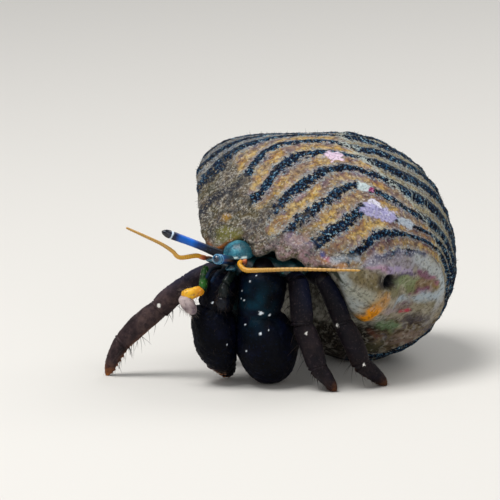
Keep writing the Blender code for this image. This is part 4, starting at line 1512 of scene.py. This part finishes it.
def buildTurf(skin, normals):
    # a short fuzz of weed over the weathered part of the shell
    weathered = (1 - skin["traits"]["base"]) * (1 - skin["traits"]["inside"]) * (
        1 - skin["traits"]["under"]) * ease(skin["points"][:, 2], 3, 6)
    x, y, z = skin["points"].T
    weathered = weathered * (1 - ease(x, 6.5, 7.5) * ease(z, 14.8, 13.8) * ease(-y, 0, 2))
    chance = weathered * (0.35 + 0.65 * ease(cloud(skin["points"], 1.5, 21), -0.3, 0.5))
    picked = dice.choice(len(chance), turf["count"], False, chance / chance.sum())
    roots, away = skin["points"][picked], normals[picked]
    count = len(picked)
    ways = unit(away + dice.normal(0, 0.45, (count, 3)))
    bends = dice.normal(0, 0.5, (count, 3))
    lengths = np.clip(dice.gamma(3.0, turf["length"] / 3, count), 0.06, turf["longest"])
    middle = (skin["points"].max(0) + skin["points"].min(0)) / 2
    globe = unit(roots - middle)
    places = np.stack([0.5 + np.arctan2(globe[:, 1], globe[:, 0]) / (2 * np.pi),
                       0.5 + np.arcsin(globe[:, 2]) / np.pi], axis=-1)
    part = cones(roots - away * 0.03, ways, bends, lengths, turf["thick"], places, 3, 3)
    part["traits"]["shade"] = np.repeat(dice.uniform(0, 1, count), 11)
    material, tree, shader = startMaterial("weed_turf", 0.6, 0.0, 0.1)
    base = colours(tree, trait(tree, "shade"), turf["tones"])
    base = flecked(tree, base, "6a6450", 0.4, grain(tree, 0.8, 4), 0.5, 0.6)
    finish(tree, shader, base, grain(tree, 0.1, 2), 0.2, 0.01)
    addPiece("shell_turf", part, material)
    print("turf", 2 * len(part["quads"]) + len(part["fans"]), "triangles")


def buildHairs():
    brown = hairMaterial("bristle_hair", "120c0e", "3c2c20")
    for leg in walkingLegs["paths"]:
        parts = []
        for tile, part in enumerate(walkingLegs["parts"]):
            form = legForms[f"{leg}_{part}"]
            under = "dactylUnder" if part == "dactyl" else "legUnder"
            parts.append(hairsOn(form, under, tile, 4))
            parts.append(hairsOn(form, "legOver", tile, 4))
        addPiece(f"{leg}_bristles", joined(parts), brown)
    for side in ("right", "left"):
        parts = [hairsOn(clawForms[f"claw_{side}_{part}"], "clawEdge", tile, 2)
                 for tile, part in enumerate(("carpus", "palm"))]
        addPiece(f"claw_{side}_bristles", joined(parts), brown)
    pale = hairMaterial("mouth_hair", "3c3030", "8c7c70")
    for side in ("right", "left"):
        parts = [hairsOn(mouthForms[f"maxilliped_{part}_{side}"], "mouth", tile, 2)
                 for tile, part in enumerate(("palp", "tip"))]
        # the left side's hairs are dark brown as painted shade
        addPiece(f"maxilliped_{side}_bristles", joined(parts),
                 pale if side == "right" else brown)
    print("hairs")


buildHairs()
buildTurf(shellSkin, normalsOf(shellSkin))


# light, floor and camera
view = {
    "turn": 35, "rise": 12, "target": (-3.77, -14.09, 13.62), "away": 583, "lens": 400,
    # lamps, in metres: place, width and power
    "lamps": {"key_lamp": ((-0.06, -0.12, 0.34), 0.16, 1.15),
              "fill_lamp": ((0.3, -0.25, 0.16), 0.3, 0.3),
              "rim_lamp": ((0.05, 0.25, 0.28), 0.2, 0.4)},
    "lit": (0, -0.01, 0.01),
    "floor": 3.0,
}


def buildStage():
    turn, up = math.radians(view["turn"]), math.radians(view["rise"])
    back = Vector((math.sin(turn) * math.cos(up), -math.cos(turn) * math.cos(up), math.sin(up)))
    lens = bpy.data.cameras.new("camera")
    lens.lens = view["lens"]
    lens.sensor_width = 36
    lens.clip_start = 0.01
    camera = bpy.data.objects.new("camera", lens)
    camera.location = (Vector(view["target"]) + back * view["away"]) * mm
    camera.rotation_euler = back.to_track_quat("Z", "Y").to_euler()
    bpy.context.scene.collection.objects.link(camera)
    bpy.context.scene.camera = camera

    mesh = bpy.data.meshes.new("floor")
    reach = view["floor"]
    mesh.from_pydata([(-reach, -reach, 0), (reach, -reach, 0), (reach, reach, 0),
                      (-reach, reach, 0)], [], [(0, 1, 2, 3)])
    floor = bpy.data.objects.new("floor", mesh)
    material, tree, shader = startMaterial("floor_paint", 0.8, specular=0.2)
    shader.inputs["Base Color"].default_value = tint("d6d3cd")
    mesh.materials.append(material)
    bpy.context.scene.collection.objects.link(floor)

    world = bpy.data.worlds.new("room")
    world.use_nodes = True
    world.node_tree.nodes["Background"].inputs["Color"].default_value = tint("f2f4f8")
    world.node_tree.nodes["Background"].inputs["Strength"].default_value = 0.4
    bpy.context.scene.world = world
    bpy.context.scene.view_settings.view_transform = "Standard"
    for name, (place, size, power) in view["lamps"].items():
        lamp = bpy.data.lights.new(name, "AREA")
        lamp.size = size
        lamp.energy = power
        made = bpy.data.objects.new(name, lamp)
        made.location = place
        away = Vector(place) - Vector(view["lit"])
        made.rotation_euler = away.to_track_quat("Z", "Y").to_euler()
        bpy.context.scene.collection.objects.link(made)


buildStage()
